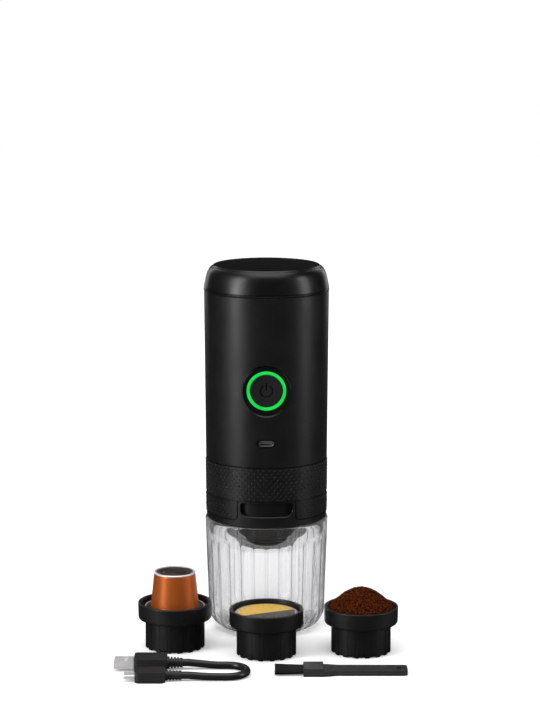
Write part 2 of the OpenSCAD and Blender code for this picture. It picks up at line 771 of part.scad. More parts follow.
module board_screws() {
    post_x = board_w / 2 - 5;
    d = board_y + board_t;
    color([0.6, 0.6, 0.62]) for (s = [-1, 1], z = [z_frame + 8, z_frame_top - 8])
        translate([s * post_x, -d, z]) union() {
            rotate([90, 0, 0]) cylinder(r = 1.7, h = 1.2);
            rotate([-90, 0, 0]) translate([0, 0, -eps]) cylinder(r = 0.8, h = board_t + 3.5);
        }
}

// Outer side of the lid, from its edge up to the ring round the disc
function lid_side() = let (r = lid_r, k = lid_h / 16.2) [
    [r, 0.6], [r - 0.3, 3 * k], [r - 0.8, 5.7 * k], [r - 1.2, 8 * k], [r - 1.8, 10.2 * k],
    [r - 2.5, 12 * k], [r - 3.5, 13.5 * k], [r - 4.6, 14.7 * k], [r - 5.8, 15.6 * k],
    [r - 7, lid_h]];

module lid_shell() {
    seat_r = lid_disc_r + 0.5;
    z_in = z_lid_in - z_shoulder;
    color([0.08, 0.08, 0.09]) translate([0, 0, z_shoulder]) rotate_extrude() polygon(concat(
        [[skirt_out_r - 0.3, -skirt_l], [skirt_out_r, -skirt_l + 0.3], [skirt_out_r, 0],
            [lid_r - 0.3, 0]],
        lid_side(),
        [[seat_r, lid_h], [seat_r, lid_h - lid_disc_t - 0.4], [0, lid_h - lid_disc_t - 0.4],
            [0, z_in], [skirt_in_r, z_in], [skirt_in_r, -skirt_l]]));
}

module lid_disc() {
    dome_r = (pow(lid_disc_r, 2) + pow(lid_disc_rise, 2)) / (2 * lid_disc_rise);
    z0 = z_shoulder + lid_h - lid_disc_t - 0.4;
    color([0.07, 0.07, 0.08]) intersection() {
        translate([0, 0, z0]) cylinder(r = lid_disc_r, h = lid_disc_t + lid_disc_rise + 1);
        translate([0, 0, z0 + lid_disc_t + lid_disc_rise - dome_r]) sphere(r = dome_r, $fn = 300);
    }
}

module lid_liner() {
    color([0.85, 0.85, 0.83]) translate([0, 0, z_neck + lid_seal_t])
        cylinder(r = neck_r - 0.2, h = liner_t);
}

module lid_seal() {
    color([0.8, 0.8, 0.78]) translate([0, 0, z_neck])
        tube(neck_r - 0.2, neck_r - neck_wall - 1, lid_seal_t);
}

module chamber() {
    h_low = chamber_h - thread_h - chamber_neck_h;
    edge = 2;
    color([0.08, 0.08, 0.09]) translate([0, 0, z_chamber]) difference() {
        union() {
            rotate_extrude() polygon(concat([[0, 0]], arc(chamber_r - edge, edge, edge, -90, 0, 5),
                [[chamber_r, h_low + 0.5], [0, h_low + 0.5]]));
            translate([0, 0, h_low]) rotate_extrude() polygon([[0, 0], [thread_r - 1.6, 0],
                [thread_r - 0.4, 1], [thread_r - 0.4, thread_h - 1.2], [thread_r - 1, thread_h - 0.4],
                [thread_r - 1, thread_h], [0, thread_h]]);
            for (i = [0:2]) translate([0, 0, h_low + 1.6 + i * (thread_h - 3) / 3])
                rotate_extrude() polygon([[20, 0], [thread_r - 0.5, 0], [thread_r, 0.6],
                    [thread_r - 0.5, 1.2], [20, 1.2]]);
            cylinder(r = chamber_neck_r, h = chamber_h);
        }
        translate([0, 0, chamber_floor]) cylinder(r = chamber_in_r, h = chamber_h);
        translate([0, 0, chamber_h - 8]) cylinder(r = chamber_neck_in_r, h = 9);
        translate([0, 0, -1]) cylinder(r = 12, h = chamber_floor + 2);
    }
}

module chamber_spout() {
    edge = 2.5;
    wall = 2;
    color([0.07, 0.07, 0.08]) translate([0, 0, z_spout]) rotate_extrude() polygon(concat(
        [[outlet_r, 0]], arc(spout_r - edge, edge, edge, -90, 0, 5),
        [[spout_r, spout_h], [spout_r - wall, spout_h], [spout_r - wall, wall + 1.5],
            [outlet_r + 2, wall], [outlet_r, wall]]));
}

module chamber_screen() {
    color([0.75, 0.76, 0.78]) translate([0, 0, z_chamber + chamber_floor]) difference() {
        cylinder(r = chamber_in_r - loose, h = 0.6);
        translate([0, 0, -1]) for (ring = [0:3], i = [1:max(1, ring * 6)])
            rotate([0, 0, i * 360 / max(1, ring * 6)]) translate([ring * 3, 0, 0])
                cylinder(r = 0.6, h = 3);
    }
}

module chamber_seal() {
    color([0.75, 0.3, 0.2]) translate([0, 0, z_chamber_top])
        tube(chamber_neck_r - 0.1, chamber_neck_in_r + 0.1, chamber_seal_t);
}

module adapter() {
    h_body = adapter_h - rim_h;
    edge = 1.2;
    difference() {
        union() {
            rotate_extrude() polygon([[0, foot_h], [adapter_r - 0.9, foot_h],
                [adapter_r - 0.5, foot_h + 0.5], [adapter_r, h_body], [rim_r - edge, h_body],
                [rim_r, h_body + edge], [rim_r, adapter_h - 0.5], [rim_r - 0.5, adapter_h],
                [0, adapter_h]]);
            for (i = [1:rib_count]) rotate([0, 0, (i - 0.5) * 360 / rib_count])
                translate([adapter_r - 2.5, -rib_w / 2, 0]) cube([2.6, rib_w, h_body + eps]);
        }
        translate([0, 0, z_seat]) cylinder(r = rim_in_r, h = adapter_h);
        translate([0, 0, adapter_floor + foot_h]) cylinder(r = capsule_bore_r, h = adapter_h);
        translate([0, 0, -1]) cylinder(r = 7, h = adapter_h);
    }
}

module capsule_adapter() {
    color([0.1, 0.1, 0.11]) translate([left_at.x, left_at.y, 0]) adapter();
}

module pod_adapter() {
    color([0.1, 0.1, 0.11]) translate([front_at.x, front_at.y, 0]) adapter();
}

module coffee_adapter() {
    color([0.1, 0.1, 0.11]) translate([right_at.x, right_at.y, 0]) adapter();
}

module coffee_filter() {
    out_r = capsule_bore_r - 0.3;
    z0 = adapter_floor + foot_h + 1;
    color([0.75, 0.76, 0.78]) translate([right_at.x, right_at.y, 0]) difference() {
        rotate_extrude() polygon([[0, z0], [out_r - 1, z0], [out_r, z0 + 1], [out_r, z_seat],
            [rim_in_r - 0.4, z_seat], [rim_in_r - 0.4, z_seat + 0.6], [out_r - 0.5, z_seat + 0.6],
            [out_r - 0.5, z0 + 1], [out_r - 1, z0 + 0.5], [0, z0 + 0.5]]);
        for (ring = [0:3], i = [1:max(1, ring * 6)]) rotate([0, 0, i * 360 / max(1, ring * 6)])
            translate([ring * 3, 0, z0 - 1]) cylinder(r = 0.5, h = 3);
    }
}

module ground_coffee() {
    r = capsule_bore_r - 1.2;
    z0 = adapter_floor + foot_h + 1.9;
    top = adapter_h + heap_h;
    z1 = z_seat + 0.9;
    edge = rim_in_r - 1;
    color([0.35, 0.18, 0.09]) translate([right_at.x, right_at.y, 0]) rotate_extrude() polygon([
        [0, z0], [r, z0], [r, z1], [edge, z1], [edge, adapter_h - 1],
        [edge - 3, adapter_h + heap_h * 0.2], [edge * 0.62, adapter_h + heap_h * 0.5],
        [edge * 0.4, adapter_h + heap_h * 0.8], [edge * 0.2, top - 0.6], [0, top]]);
}

// A capsule standing on its flange, closed end up
module capsule_cup() {
    r0 = capsule_base_d / 2;
    r1 = capsule_top_d / 2;
    w = capsule_wall;
    color([0.75, 0.36, 0.13]) translate([left_at.x, left_at.y, z_seat + foil_t])
        rotate_extrude() polygon([[r0 - w, 0], [capsule_flange_d / 2, 0],
            [capsule_flange_d / 2, flange_t], [r0 + 0.4, flange_t * 0.8], [r0, flange_t + 1],
            [r1 + 0.3, capsule_h - 1], [r1 + 0.6, capsule_h - 0.4], [r1, capsule_h],
            [r1 - 0.8, capsule_h - 0.5], [4, capsule_h - 0.2], [0, capsule_h - 0.2],
            [0, capsule_h - 0.2 - w], [4, capsule_h - 0.2 - w], [r1 - 0.8, capsule_h - 0.5 - w],
            [r0 - w, flange_t + 1]]);
}

module capsule_foil() {
    color([0.8, 0.8, 0.8]) translate([left_at.x, left_at.y, z_seat])
        cylinder(r = capsule_flange_d / 2 - 0.4, h = foil_t);
}

// A pod hanging by its flange, closed end down
module pod_cup() {
    r0 = pod_base_d / 2;
    r1 = pod_top_d / 2;
    w = capsule_wall;
    color([0.85, 0.65, 0.12]) translate([front_at.x, front_at.y, z_seat]) rotate_extrude() polygon([
        [0, -pod_h], [r1 - 1.5, -pod_h], [r1 - 0.4, -pod_h + 0.5], [r1, -pod_h + 1.6], [r0, 0],
        [pod_flange_d / 2 - 0.3, 0], [pod_flange_d / 2, flange_t / 2],
        [pod_flange_d / 2 - 0.3, flange_t], [r0 - w, flange_t], [r0 - w, 0],
        [r1 - w, -pod_h + 1.6], [r1 - 1.2, -pod_h + w], [0, -pod_h + w]]);
}

module pod_foil() {
    color([0.9, 0.72, 0.2]) translate([front_at.x, front_at.y, z_seat + flange_t])
        cylinder(r = pod_flange_d / 2 - 1.6, h = foil_t);
}

// Ring of points across a route at one of its points, and the tube that joins such rings
function unit(v) = v / norm(v);
function ahead(p, i) = unit(p[min(i + 1, len(p) - 1)] - p[max(i - 1, 0)]);
function across(p, i) = let (t = ahead(p, i), s = unit(cross(t, [0, 0, 1]))) [s, cross(s, t)];
function ring_at(p, i, r, n) = let (a = across(p, i))
    [for (k = [0:n - 1]) p[i] + r * cos(360 * k / n) * a[0] + r * sin(360 * k / n) * a[1]];

module swept_tube(p, r, n) {
    last = len(p) - 1;
    points = [for (i = [0:last]) each ring_at(p, i, r, n)];
    sides = [for (i = [0:last - 1], k = [0:n - 1]) let (a = i * n + k, b = i * n + (k + 1) % n)
        each [[a, b, a + n], [b, b + n, a + n]]];
    caps = [[for (k = [n - 1:-1:0]) k], [for (k = [0:n - 1]) last * n + k]];
    polyhedron(points = points, faces = concat(sides, caps));
}

module usb_cord() {
    color([0.1, 0.1, 0.11]) swept_tube(cord_route, cord_d / 2, cord_sides);
}

// A strain relief along +X from the origin, with its grooves
module relief(r0, r1, l) {
    difference() {
        rotate([0, 90, 0]) cylinder(r1 = r0, r2 = r1, h = l);
        for (i = [1:4]) translate([i * l / 5 - 0.4, 0, 0]) rotate([0, 90, 0])
            tube(r0 + 1, r1 - 0.3, 0.8);
    }
}

module usb_a_housing() {
    x0 = plug_end_x - relief_l - plug_a_l;
    color([0.1, 0.1, 0.11]) translate([x0, plug_a_y, 0]) union() {
        rounded_box(plug_a_l, plug_a_w, plug_a_t, 2);
        translate([plug_a_l - eps, 0, plug_a_t / 2]) relief(3.8, cord_d / 2 + 0.6, relief_l + eps);
    }
}

module usb_a_shell() {
    x0 = plug_end_x - relief_l - plug_a_l - plug_a_shell_l;
    color([0.8, 0.8, 0.82]) translate([x0, plug_a_y, plug_a_t / 2]) difference() {
        translate([0, -6, -2.25]) cube([plug_a_shell_l, 12, 4.5]);
        translate([-1, -5.7, -1.95]) cube([plug_a_shell_l - 1, 11.4, 1.95]);
        for (s = [-1, 1]) translate([plug_a_shell_l - 6.5, s * 2.6 - 1.25, 1.6]) cube([2.5, 2.5, 2]);
    }
}

module usb_c_housing() {
    x0 = plug_end_x - relief_l - plug_c_l;
    color([0.1, 0.1, 0.11]) translate([x0, plug_c_y, 0]) union() {
        rounded_box(plug_c_l, plug_c_w, plug_c_t, 3);
        translate([plug_c_l - eps, 0, plug_c_t / 2]) relief(3.1, cord_d / 2 + 0.5, relief_l + eps);
    }
}

module usb_c_shell() {
    x0 = plug_end_x - relief_l - plug_c_l;
    color([0.8, 0.8, 0.82]) translate([x0, plug_c_y, plug_c_t / 2]) rotate([0, -90, 0])
        rotate([0, 0, 90]) difference() {
            linear_extrude(height = plug_c_shell_l) stadium(8.25, 2.4);
            translate([0, 0, 1]) linear_extrude(height = plug_c_shell_l) stadium(7.65, 1.8);
        }
}

// Outline of the brush's handle, which flares towards the head in an S on each side
module handle_outline() {
    neck_x = brush_at.x + bristle_l + head_l;
    end_x = neck_x + handle_l - handle_corner_r;
    end_y = handle_w / 2 - handle_corner_r;
    flare = (head_w - 0.6 - handle_w) / 2;
    bend_r = (pow(head_flare_l, 2) + pow(flare, 2)) / (4 * flare);
    turn = asin(head_flare_l / 2 / bend_r);
    side = concat(
        [[neck_x - 1, handle_w / 2 + flare]],
        arc(neck_x, handle_w / 2 + flare - bend_r, bend_r, 90, 90 - turn),
        arc(neck_x + head_flare_l, handle_w / 2 + bend_r, bend_r, 270 - turn, 270),
        arc(end_x, end_y, handle_corner_r, 90, 0));
    polygon(concat(side, [for (i = [len(side) - 1:-1:0]) [side[i].x, -side[i].y]]));
}

module brush_handle() {
    head_x = brush_at.x + bristle_l;
    neck_x = head_x + head_l;
    panel_l = handle_l - 14;
    color([0.1, 0.1, 0.11]) translate([0, brush_at.y, 0]) difference() {
        union() {
            translate([head_x, -head_w / 2, 0]) cube([head_l, head_w, head_t]);
            linear_extrude(height = handle_t) handle_outline();
        }
        translate([neck_x + 3 + panel_l / 2, 0, handle_t - 0.5]) linear_extrude(height = 5)
            stadium(panel_l, handle_w - 4);
        translate([neck_x + handle_l - 5, 0, -1]) cylinder(r = hang_hole_r, h = handle_t + 2);
        translate([head_x - 1, -head_w / 2 + 0.8, 0.6]) cube([1.7, head_w - 1.6, head_t - 1.2]);
    }
}

// Bristles: each tuft has rings of strands, spread a little from root to tip
module tuft(pitch) {
    for (ring = [0:tuft_rings], i = [1:max(1, ring * 6)]) let (a = i * 360 / max(1, ring * 6))
        translate([ring * pitch * cos(a), ring * pitch * sin(a)]) circle(r = 0.13, $fn = 3);
}

module brush_bristles() {
    slice = 0.6;
    step = (head_w - 2.5) / tuft_count;
    tuft_r = min(step / 2 - 0.25, head_t / 2 - 0.9);
    pitch = tuft_r / tuft_rings;
    color([0.12, 0.12, 0.13]) resize([bristle_l + slice, 0, 0])
        translate([brush_at.x + bristle_l + slice, brush_at.y, head_t / 2]) rotate([0, -90, 0])
            union() {
                translate([-head_t / 2 + 0.7, -head_w / 2 + 0.9, 0])
                    cube([head_t - 1.4, head_w - 1.8, slice]);
                for (i = [0:tuft_count - 1])
                    translate([0, (i - (tuft_count - 1) / 2) * step, slice / 2])
                        linear_extrude(height = bristle_l + slice / 2, scale = 1.1) tuft(pitch);
            }
}

cup();
base_housing();
lower_grip_sleeve();
upper_grip_band();
body_shell();
water_tank();
heater_gasket();
heating_plate();
thermostat();
inner_frame();
battery_cells();
pump_head();
pump_motor();
suction_hose();
pressure_hose();
control_board();
tact_switch();
usb_receptacle();
button_bezel();
light_ring();
power_button();
brew_head();
needle_plate();
frame_screws();
board_screws();
lid_shell();
lid_disc();
lid_liner();
lid_seal();
chamber();
chamber_spout();
chamber_screen();
chamber_seal();
capsule_adapter();
pod_adapter();
coffee_adapter();
coffee_filter();
ground_coffee();
capsule_cup();
capsule_foil();
pod_cup();
pod_foil();
usb_a_shell();
usb_a_housing();
usb_cord();
usb_c_housing();
usb_c_shell();
brush_handle();
brush_bristles();
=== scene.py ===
import bpy
import bmesh
from math import atan2, cos, exp, pi, radians, sin, sqrt, tan
from mathutils import Matrix, Vector


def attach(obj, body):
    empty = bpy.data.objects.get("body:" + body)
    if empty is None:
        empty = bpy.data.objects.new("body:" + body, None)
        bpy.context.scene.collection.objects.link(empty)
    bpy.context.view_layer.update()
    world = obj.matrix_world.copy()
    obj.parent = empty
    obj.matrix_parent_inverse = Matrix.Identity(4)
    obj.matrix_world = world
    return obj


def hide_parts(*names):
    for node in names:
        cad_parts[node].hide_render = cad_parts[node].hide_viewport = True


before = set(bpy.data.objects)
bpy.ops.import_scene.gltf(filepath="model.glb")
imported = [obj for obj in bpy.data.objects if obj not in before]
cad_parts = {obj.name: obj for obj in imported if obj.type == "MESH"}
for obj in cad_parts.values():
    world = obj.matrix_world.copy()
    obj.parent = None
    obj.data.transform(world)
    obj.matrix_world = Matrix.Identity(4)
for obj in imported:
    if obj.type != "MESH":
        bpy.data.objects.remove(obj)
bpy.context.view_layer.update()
scene = bpy.context.scene
print("frame loaded:", len(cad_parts), "nodes")

mm = 0.001

# Levels and radii of the machine in millimetres, from the table up
machine = {
    "baseZ": 71.0, "stripZ": 75.5, "seamLowZ": 87.9, "seamUpZ": 109.3, "shoulderZ": 215.1,
    "buttonZ": 157.7, "faceY": 37.52, "shoulderR": 39.0, "taper": 1.2,
}
# Where the adapters stand, with what they hold
places = {"capsule": (-56.4, -50.0), "pod": (0.0, -66.0), "coffee": (58.0, -60.0)}


def bodyRadius(z):
    span = machine["shoulderZ"] - machine["baseZ"]
    return machine["shoulderR"] - machine["taper"] * (machine["shoulderZ"] - z) / span


def addObject(name, data):
    obj = bpy.data.objects.new(name, data)
    scene.collection.objects.link(obj)
    return obj


# The camera, as the photograph was taken
photoView = {"place": (2.2, -1482.3, 428.0), "tiltDown": 9.85, "lens": 120}
cameraData = bpy.data.cameras.new("photoCamera")
cameraData.lens = photoView["lens"]
cameraData.sensor_width = 36
cameraData.clip_end = 50
camera = addObject("photoCamera", cameraData)
camera.location = [c * mm for c in photoView["place"]]
camera.rotation_euler = (radians(90 - photoView["tiltDown"]), 0, 0)
scene.camera = camera


# Nodes of a shader or geometry tree
def putNode(tree, kind, inputs=None, **settings):
    node = tree.nodes.new(kind)
    for key, value in settings.items():
        setattr(node, key, value)
    for key, value in (inputs or {}).items():
        if isinstance(value, bpy.types.NodeSocket):
            tree.links.new(value, node.inputs[key])
        else:
            node.inputs[key].default_value = value
    return node


def feed(node, label, value):
    node.id_data.links.new(value, node.inputs[label])


def result(tree, kind, inputs=None, **settings):
    return putNode(tree, kind, inputs, **settings).outputs[0]


def calc(tree, operation, first, second=0.0):
    return result(tree, "ShaderNodeMath", {0: first, 1: second}, operation=operation)


def times(tree, first, second):
    return calc(tree, "MULTIPLY", first, second)


def plus(tree, first, second):
    return calc(tree, "ADD", first, second)


def vector(tree, **parts):
    return result(tree, "ShaderNodeCombineXYZ", parts)


def copiesAt(tree, points, instance, rotation, scale=(1, 1, 1)):
    return result(tree, "GeometryNodeInstanceOnPoints", {
        "Points": points, "Instance": instance, "Rotation": rotation, "Scale": scale})


def placeOf(tree):
    return putNode(tree, "ShaderNodeTexCoord").outputs["Object"]


def mapped(tree, place, **moves):
    return result(tree, "ShaderNodeMapping", dict(moves, Vector=place))


def noiseOf(tree, scale, detail=3.0, stretch=(1, 1, 1)):
    noise = putNode(tree, "ShaderNodeTexNoise", {
        "Vector": mapped(tree, placeOf(tree), Scale=stretch), "Scale": scale, "Detail": detail,
        "Roughness": 0.6})
    return noise.outputs["Fac"]


def spread(tree, value, low, high, fromLow=0.3, fromHigh=0.7):
    return putNode(tree, "ShaderNodeMapRange", {
        "Value": value, "From Min": fromLow, "From Max": fromHigh, "To Min": low,
        "To Max": high}).outputs["Result"]


def colourMix(tree, factor, first, second):
    return putNode(tree, "ShaderNodeMix", {0: factor, 6: first, 7: second},
                   data_type="RGBA").outputs[2]


materials = {}


# A moulded or drawn surface. grain is its scale and its depth in millimetres, smudge spreads the
# roughness, mottle spreads the colour, and stretch draws the pattern out along an axis
def newMaterial(name, colour, rough, grain=(1500, 0.02), smudge=0.05, mottle=0.12,
                stretch=(1, 1, 1), **sockets):
    material = bpy.data.materials.new(name)
    material.use_nodes = True
    tree = material.node_tree
    shader = tree.nodes["Principled BSDF"]
    for label, value in sockets.items():
        shader.inputs[label.replace("_", " ")].default_value = value
    wide = noiseOf(tree, 60, stretch=stretch)
    fine = noiseOf(tree, grain[0], detail=2, stretch=stretch)
    dark = [c * (1 - mottle) for c in colour] + [1]
    light = [min(1, c * (1 + mottle)) for c in colour] + [1]
    feed(shader, "Base Color", colourMix(tree, spread(tree, wide, 0, 1), dark, light))
    feed(shader, "Roughness", spread(tree, wide, rough - smudge, rough + smudge))
    bump = putNode(tree, "ShaderNodeBump", {
        "Strength": 1.0, "Distance": grain[1] * mm, "Height": fine})
    feed(shader, "Normal", bump.outputs["Normal"])
    materials[name] = material
    return tree, shader


finishes = {
    "softBlack": dict(
        colour=(0.0045, 0.0045, 0.0048), rough=0.4, grain=(2600, 0.008), Specular_IOR_Level=0.4),
    "satinBlack": dict(
        colour=(0.003, 0.003, 0.0032), rough=0.33, grain=(1800, 0.004), Specular_IOR_Level=0.4),
    "adapterBlack": dict(
        colour=(0.0055, 0.0055, 0.0058), rough=0.4, grain=(2200, 0.008), Specular_IOR_Level=0.42),
    "gripBlack": dict(
        colour=(0.005, 0.005, 0.0053), rough=0.34, grain=(3000, 0.01), Specular_IOR_Level=0.5),
    # painted shade: the darker, duller black of the tube round the panel stands for its groove's
    # shade
    "grooveShadeBlack": dict(colour=(0.001, 0.001, 0.001), rough=0.7, Specular_IOR_Level=0.1),
    "buttonBlack": dict(
        colour=(0.0075, 0.0075, 0.008), rough=0.5, grain=(2600, 0.006), Specular_IOR_Level=0.35),
    "cableBlack": dict(colour=(0.009, 0.009, 0.0095), rough=0.36, grain=(2400, 0.01)),
    "plugBlack": dict(colour=(0.013, 0.013, 0.014), rough=0.48, grain=(3200, 0.03)),
    "brushBlack": dict(colour=(0.024, 0.024, 0.025), rough=0.45, grain=(2600, 0.02)),
    "bristleBlack": dict(colour=(0.006, 0.006, 0.0065), rough=0.4, grain=(3000, 0.01)),
    "tankGrey": dict(colour=(0.03, 0.031, 0.034), rough=0.4),
    "redSilicone": dict(colour=(0.45, 0.07, 0.04), rough=0.45),
    "paleSilicone": dict(colour=(0.62, 0.62, 0.6), rough=0.45),
    "palePlastic": dict(colour=(0.72, 0.71, 0.67), rough=0.4),
    "clearHose": dict(colour=(0.82, 0.82, 0.78), rough=0.25, Transmission_Weight=0.6),
    "cellWrap": dict(colour=(0.02, 0.12, 0.4), rough=0.25, grain=(300, 0.03)),
    "steel": dict(
        colour=(0.6, 0.6, 0.61), rough=0.27, grain=(900, 0.006), mottle=0.05,
        stretch=(1, 1, 12), Metallic=1.0),
    "plugSteel": dict(
        colour=(0.72, 0.715, 0.71), rough=0.3, grain=(700, 0.008), mottle=0.04,
        stretch=(1, 14, 14), Metallic=0.45),
    "portSteel": dict(colour=(0.3, 0.3, 0.305), rough=0.34, grain=(900, 0.004), Metallic=0.6),
    "copperFoil": dict(
        colour=(0.43, 0.094, 0.011), rough=0.44, grain=(1300, 0.012), mottle=0.1,
        stretch=(1, 1, 0.15), Metallic=0.55),
    "darkFlange": dict(colour=(0.045, 0.04, 0.038), rough=0.3, Metallic=0.6),
    "silverRim": dict(
        colour=(0.78, 0.775, 0.77), rough=0.3, grain=(900, 0.01), mottle=0.04, Metallic=0.5),
    "capsuleCap": dict(
        colour=(0.07, 0.052, 0.048), rough=0.35, grain=(500, 0.05), mottle=0.3, Metallic=0.5),
    "goldPod": dict(colour=(0.62, 0.31, 0.006), rough=0.34, grain=(800, 0.02), mottle=0.08),
    "podFlange": dict(
        colour=(0.6, 0.59, 0.56), rough=0.2, grain=(900, 0.01), mottle=0.05,
        Transmission_Weight=0.3),
    "boardGreen": dict(colour=(0.008, 0.1, 0.03), rough=0.35),
}
for finishName, finish in finishes.items():
    newMaterial(finishName, **finish)

# The lit ring: its light is the same all round, a little softer where the diffuser is thick
tree, shader = newMaterial("greenLight", (0.002, 0.06, 0.01), 0.45, Emission_Strength=1.0,
                           Specular_IOR_Level=0.2)
glow = spread(tree, noiseOf(tree, 140), 0, 1)
feed(shader, "Emission Color",
     colourMix(tree, glow, (0.002, 0.6, 0.06, 1), (0.008, 0.74, 0.09, 1)))

# Ground coffee: reddish and dark grains beside each other
tree, shader = newMaterial("groundCoffee", (0.06, 0.016, 0.004), 0.75, grain=(900, 0.4),
                           Specular_IOR_Level=0.05)
grainTone = spread(tree, noiseOf(tree, 900, detail=2), 0, 1, 0.4, 0.62)
feed(shader, "Base Color",
     colourMix(tree, grainTone, (0.009, 0.002, 0.0005, 1), (0.105, 0.019, 0.002, 1)))

# The pod's foil: yellow with a darker printed side, both speckled
foilPlan = {"edge": 2.5, "turn": 65}
tree, shader = newMaterial("podFoil", (0.66, 0.4, 0.04), 0.36, grain=(700, 0.05))
foilMiddle = mapped(tree, placeOf(tree), Location=-Vector((*places["pod"], 0)) * mm)
foilSpin = mapped(tree, foilMiddle, Rotation=(0, 0, radians(foilPlan["turn"])))
foilX = result(tree, "ShaderNodeSeparateXYZ", {"Vector": foilSpin})
foilSide = calc(tree, "GREATER_THAN", foilX, foilPlan["edge"] * mm)
speck = spread(tree, noiseOf(tree, 900, detail=1), 0, 1, 0.56, 0.66)
yellow = colourMix(tree, speck, (0.7, 0.43, 0.05, 1), (0.38, 0.22, 0.03, 1))
umber = colourMix(tree, speck, (0.035, 0.03, 0.028, 1), (0.16, 0.14, 0.12, 1))
feed(shader, "Base Color", colourMix(tree, foilSide, yellow, umber))

# Clear plastic of the cup, with painted shade: it turns from pale grey to near black where the
# cup's own values mark painted dark lines at its flute edges, rim and foot, most of all where the
# wall is seen edge on
tree, shader = newMaterial("clearPlastic", (0.9, 0.9, 0.91), 0.03, grain=(120, 0.008),
                           smudge=0.012, mottle=0.0, Transmission_Weight=1.0, IOR=1.33)
paintedShade = putNode(tree, "ShaderNodeAttribute", attribute_name="paintedShade").outputs["Fac"]
facing = putNode(tree, "ShaderNodeLayerWeight", {"Blend": 0.5}).outputs["Facing"]
shadeAmount = times(tree, paintedShade, spread(tree, facing, 0.22, 1.25, 0.1, 0.36))
feed(shader, "Base Color",
     colourMix(tree, shadeAmount, (0.86, 0.86, 0.87, 1), (0.005, 0.005, 0.006, 1)))
feed(shader, "Alpha", spread(tree, shadeAmount, 0.8, 1.0, 0, 1))
print("materials:", len(materials))


# Meshes
def freshObject(name, verts=(), faces=()):
    mesh = bpy.data.meshes.new(name)
    mesh.from_pydata([Vector(v) * mm for v in verts], [], faces)
    return addObject(name, mesh)


# Merges the points that lie together, then turns the faces outward or joins those that lie flat
def mergeMesh(obj, distance=0.002, flat=None):
    shell = bmesh.new()
    shell.from_mesh(obj.data)
    bmesh.ops.remove_doubles(shell, verts=shell.verts, dist=distance * mm)
    if flat:
        bmesh.ops.dissolve_limit(shell, angle_limit=radians(flat), verts=shell.verts,
                                 edges=shell.edges)
    else:
        bmesh.ops.recalc_face_normals(shell, faces=shell.faces)
    shell.to_mesh(obj.data)
    shell.free()


def bakeModifiers(obj):
    depsgraph = bpy.context.evaluated_depsgraph_get()
    baked = bpy.data.meshes.new_from_object(obj.evaluated_get(depsgraph),
                                            preserve_all_data_layers=True, depsgraph=depsgraph)
    obj.modifiers.clear()
    obj.data = baked


def finishPiece(obj, body, material, standsFor=(), sharp=32, bevel=0.0, weighted=True):
    obj.data.materials.clear()
    obj.data.materials.append(materials[material])
    obj.data.shade_smooth()
    obj.data.set_sharp_from_angle(angle=radians(sharp))
    if bevel:
        rounding = obj.modifiers.new("Rounding", "BEVEL")
        rounding.width = bevel * mm
        rounding.segments = 2
        rounding.angle_limit = radians(30)
    if weighted:
        obj.modifiers.new("Even shading", "WEIGHTED_NORMAL").keep_sharp = True
    if obj.modifiers:
        bakeModifiers(obj)
    obj.data.name = obj.name
    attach(obj, body)
    if standsFor:
        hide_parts(*standsFor)
    return obj


# Rounds the corners of an outline: a point is (r, z) or (r, z, radius). A rounding takes no more
# than a share of the edges beside it
def roundedOutline(points, closed, steps=4, share=0.49):
    line = []
    for i, point in enumerate(points):
        corner = Vector(point[:2])
        if len(point) < 3 or (not closed and i in (0, len(points) - 1)):
            line.append(tuple(corner))
            continue
        back = Vector(points[i - 1][:2]) - corner
        ahead = Vector(points[(i + 1) % len(points)][:2]) - corner
        angle = back.angle(ahead)
        cut = min(point[2] / tan(angle / 2), back.length * share, ahead.length * share)
        radius = cut * tan(angle / 2)
        back.normalize()
        ahead.normalize()
        centre = corner + (back + ahead).normalized() * radius / sin(angle / 2)
        start = corner + back * cut - centre
        end = corner + ahead * cut - centre
        for k in range(steps + 1):
            line.append(tuple(centre + start.lerp(end, k / steps).normalized() * radius))
    return line


def turnsOf(count):
    return [2 * pi * k / count for k in range(count)]


# A surface through rows of points that run round; a row of one point is a tip
def loft(name, rows, closed=False, caps=False):
    verts, loops, faces = [], [], []
    for row in rows:
        loops.append(list(range(len(verts), len(verts) + len(row))))
        verts += row
    sides = max(len(row) for row in rows)
    for low, high in list(zip(loops, loops[1:])) + ([(loops[-1], loops[0])] if closed else []):
        for k in range(sides):
            n = (k + 1) % sides
            faces.append(list(dict.fromkeys([
                low[k % len(low)], low[n % len(low)], high[n % len(high)], high[k % len(high)]])))
    if caps:
        faces += [loops[0], loops[-1]]
    obj = freshObject(name, verts, faces)
    mergeMesh(obj)
    return obj


# Turns an outline round the upright axis through centre, or a ring outline that closes on itself.
# Its heights count from level
def revolve(name, points, closed, segments, centre=(0, 0), level=0.0):
    x, y = centre
    rows = []
    for r, z in roundedOutline(points, closed):
        rows.append([(x + r * cos(a), y + r * sin(a), level + z) for a in turnsOf(segments)]
                    if r > 1e-6 else [(x, y, level + z)])
    return loft(name, rows, closed)


# A turned piece with its finish
def turned(name, body, material, points, standsFor=(), closed=True, segments=128, centre=(0, 0),
           level=0.0, **finish):
    obj = revolve(name, points, closed, segments, centre, level)
    return finishPiece(obj, body, material, standsFor, **finish)


# Stands a piece on its side, so that its axis points to the front at the button's height
def faceFront(obj):
    lift = Matrix.Translation((0, 0, machine["buttonZ"] * mm))
    obj.data.transform(lift @ Matrix.Rotation(radians(90), 4, "X"))
    return obj


def joinInto(target, *others):
    merged = bmesh.new()
    for piece in (target, *others):
        merged.from_mesh(piece.data)
    merged.to_mesh(target.data)
    merged.free()
    for piece in others:
        bpy.data.objects.remove(piece)
    return target


# A copy of a CAD piece, smooth where it is round
def copyOfNode(node, name, body, material, bevel=0.0, cone=False, sharp=30):
    obj = addObject(name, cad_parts[node].data.copy())
    mergeMesh(obj, 0.001, flat=0.3)
    finishPiece(obj, body, material, (node,), sharp=sharp, bevel=bevel, weighted=not cone)
    if cone:
        smoothCone(obj)
    return obj


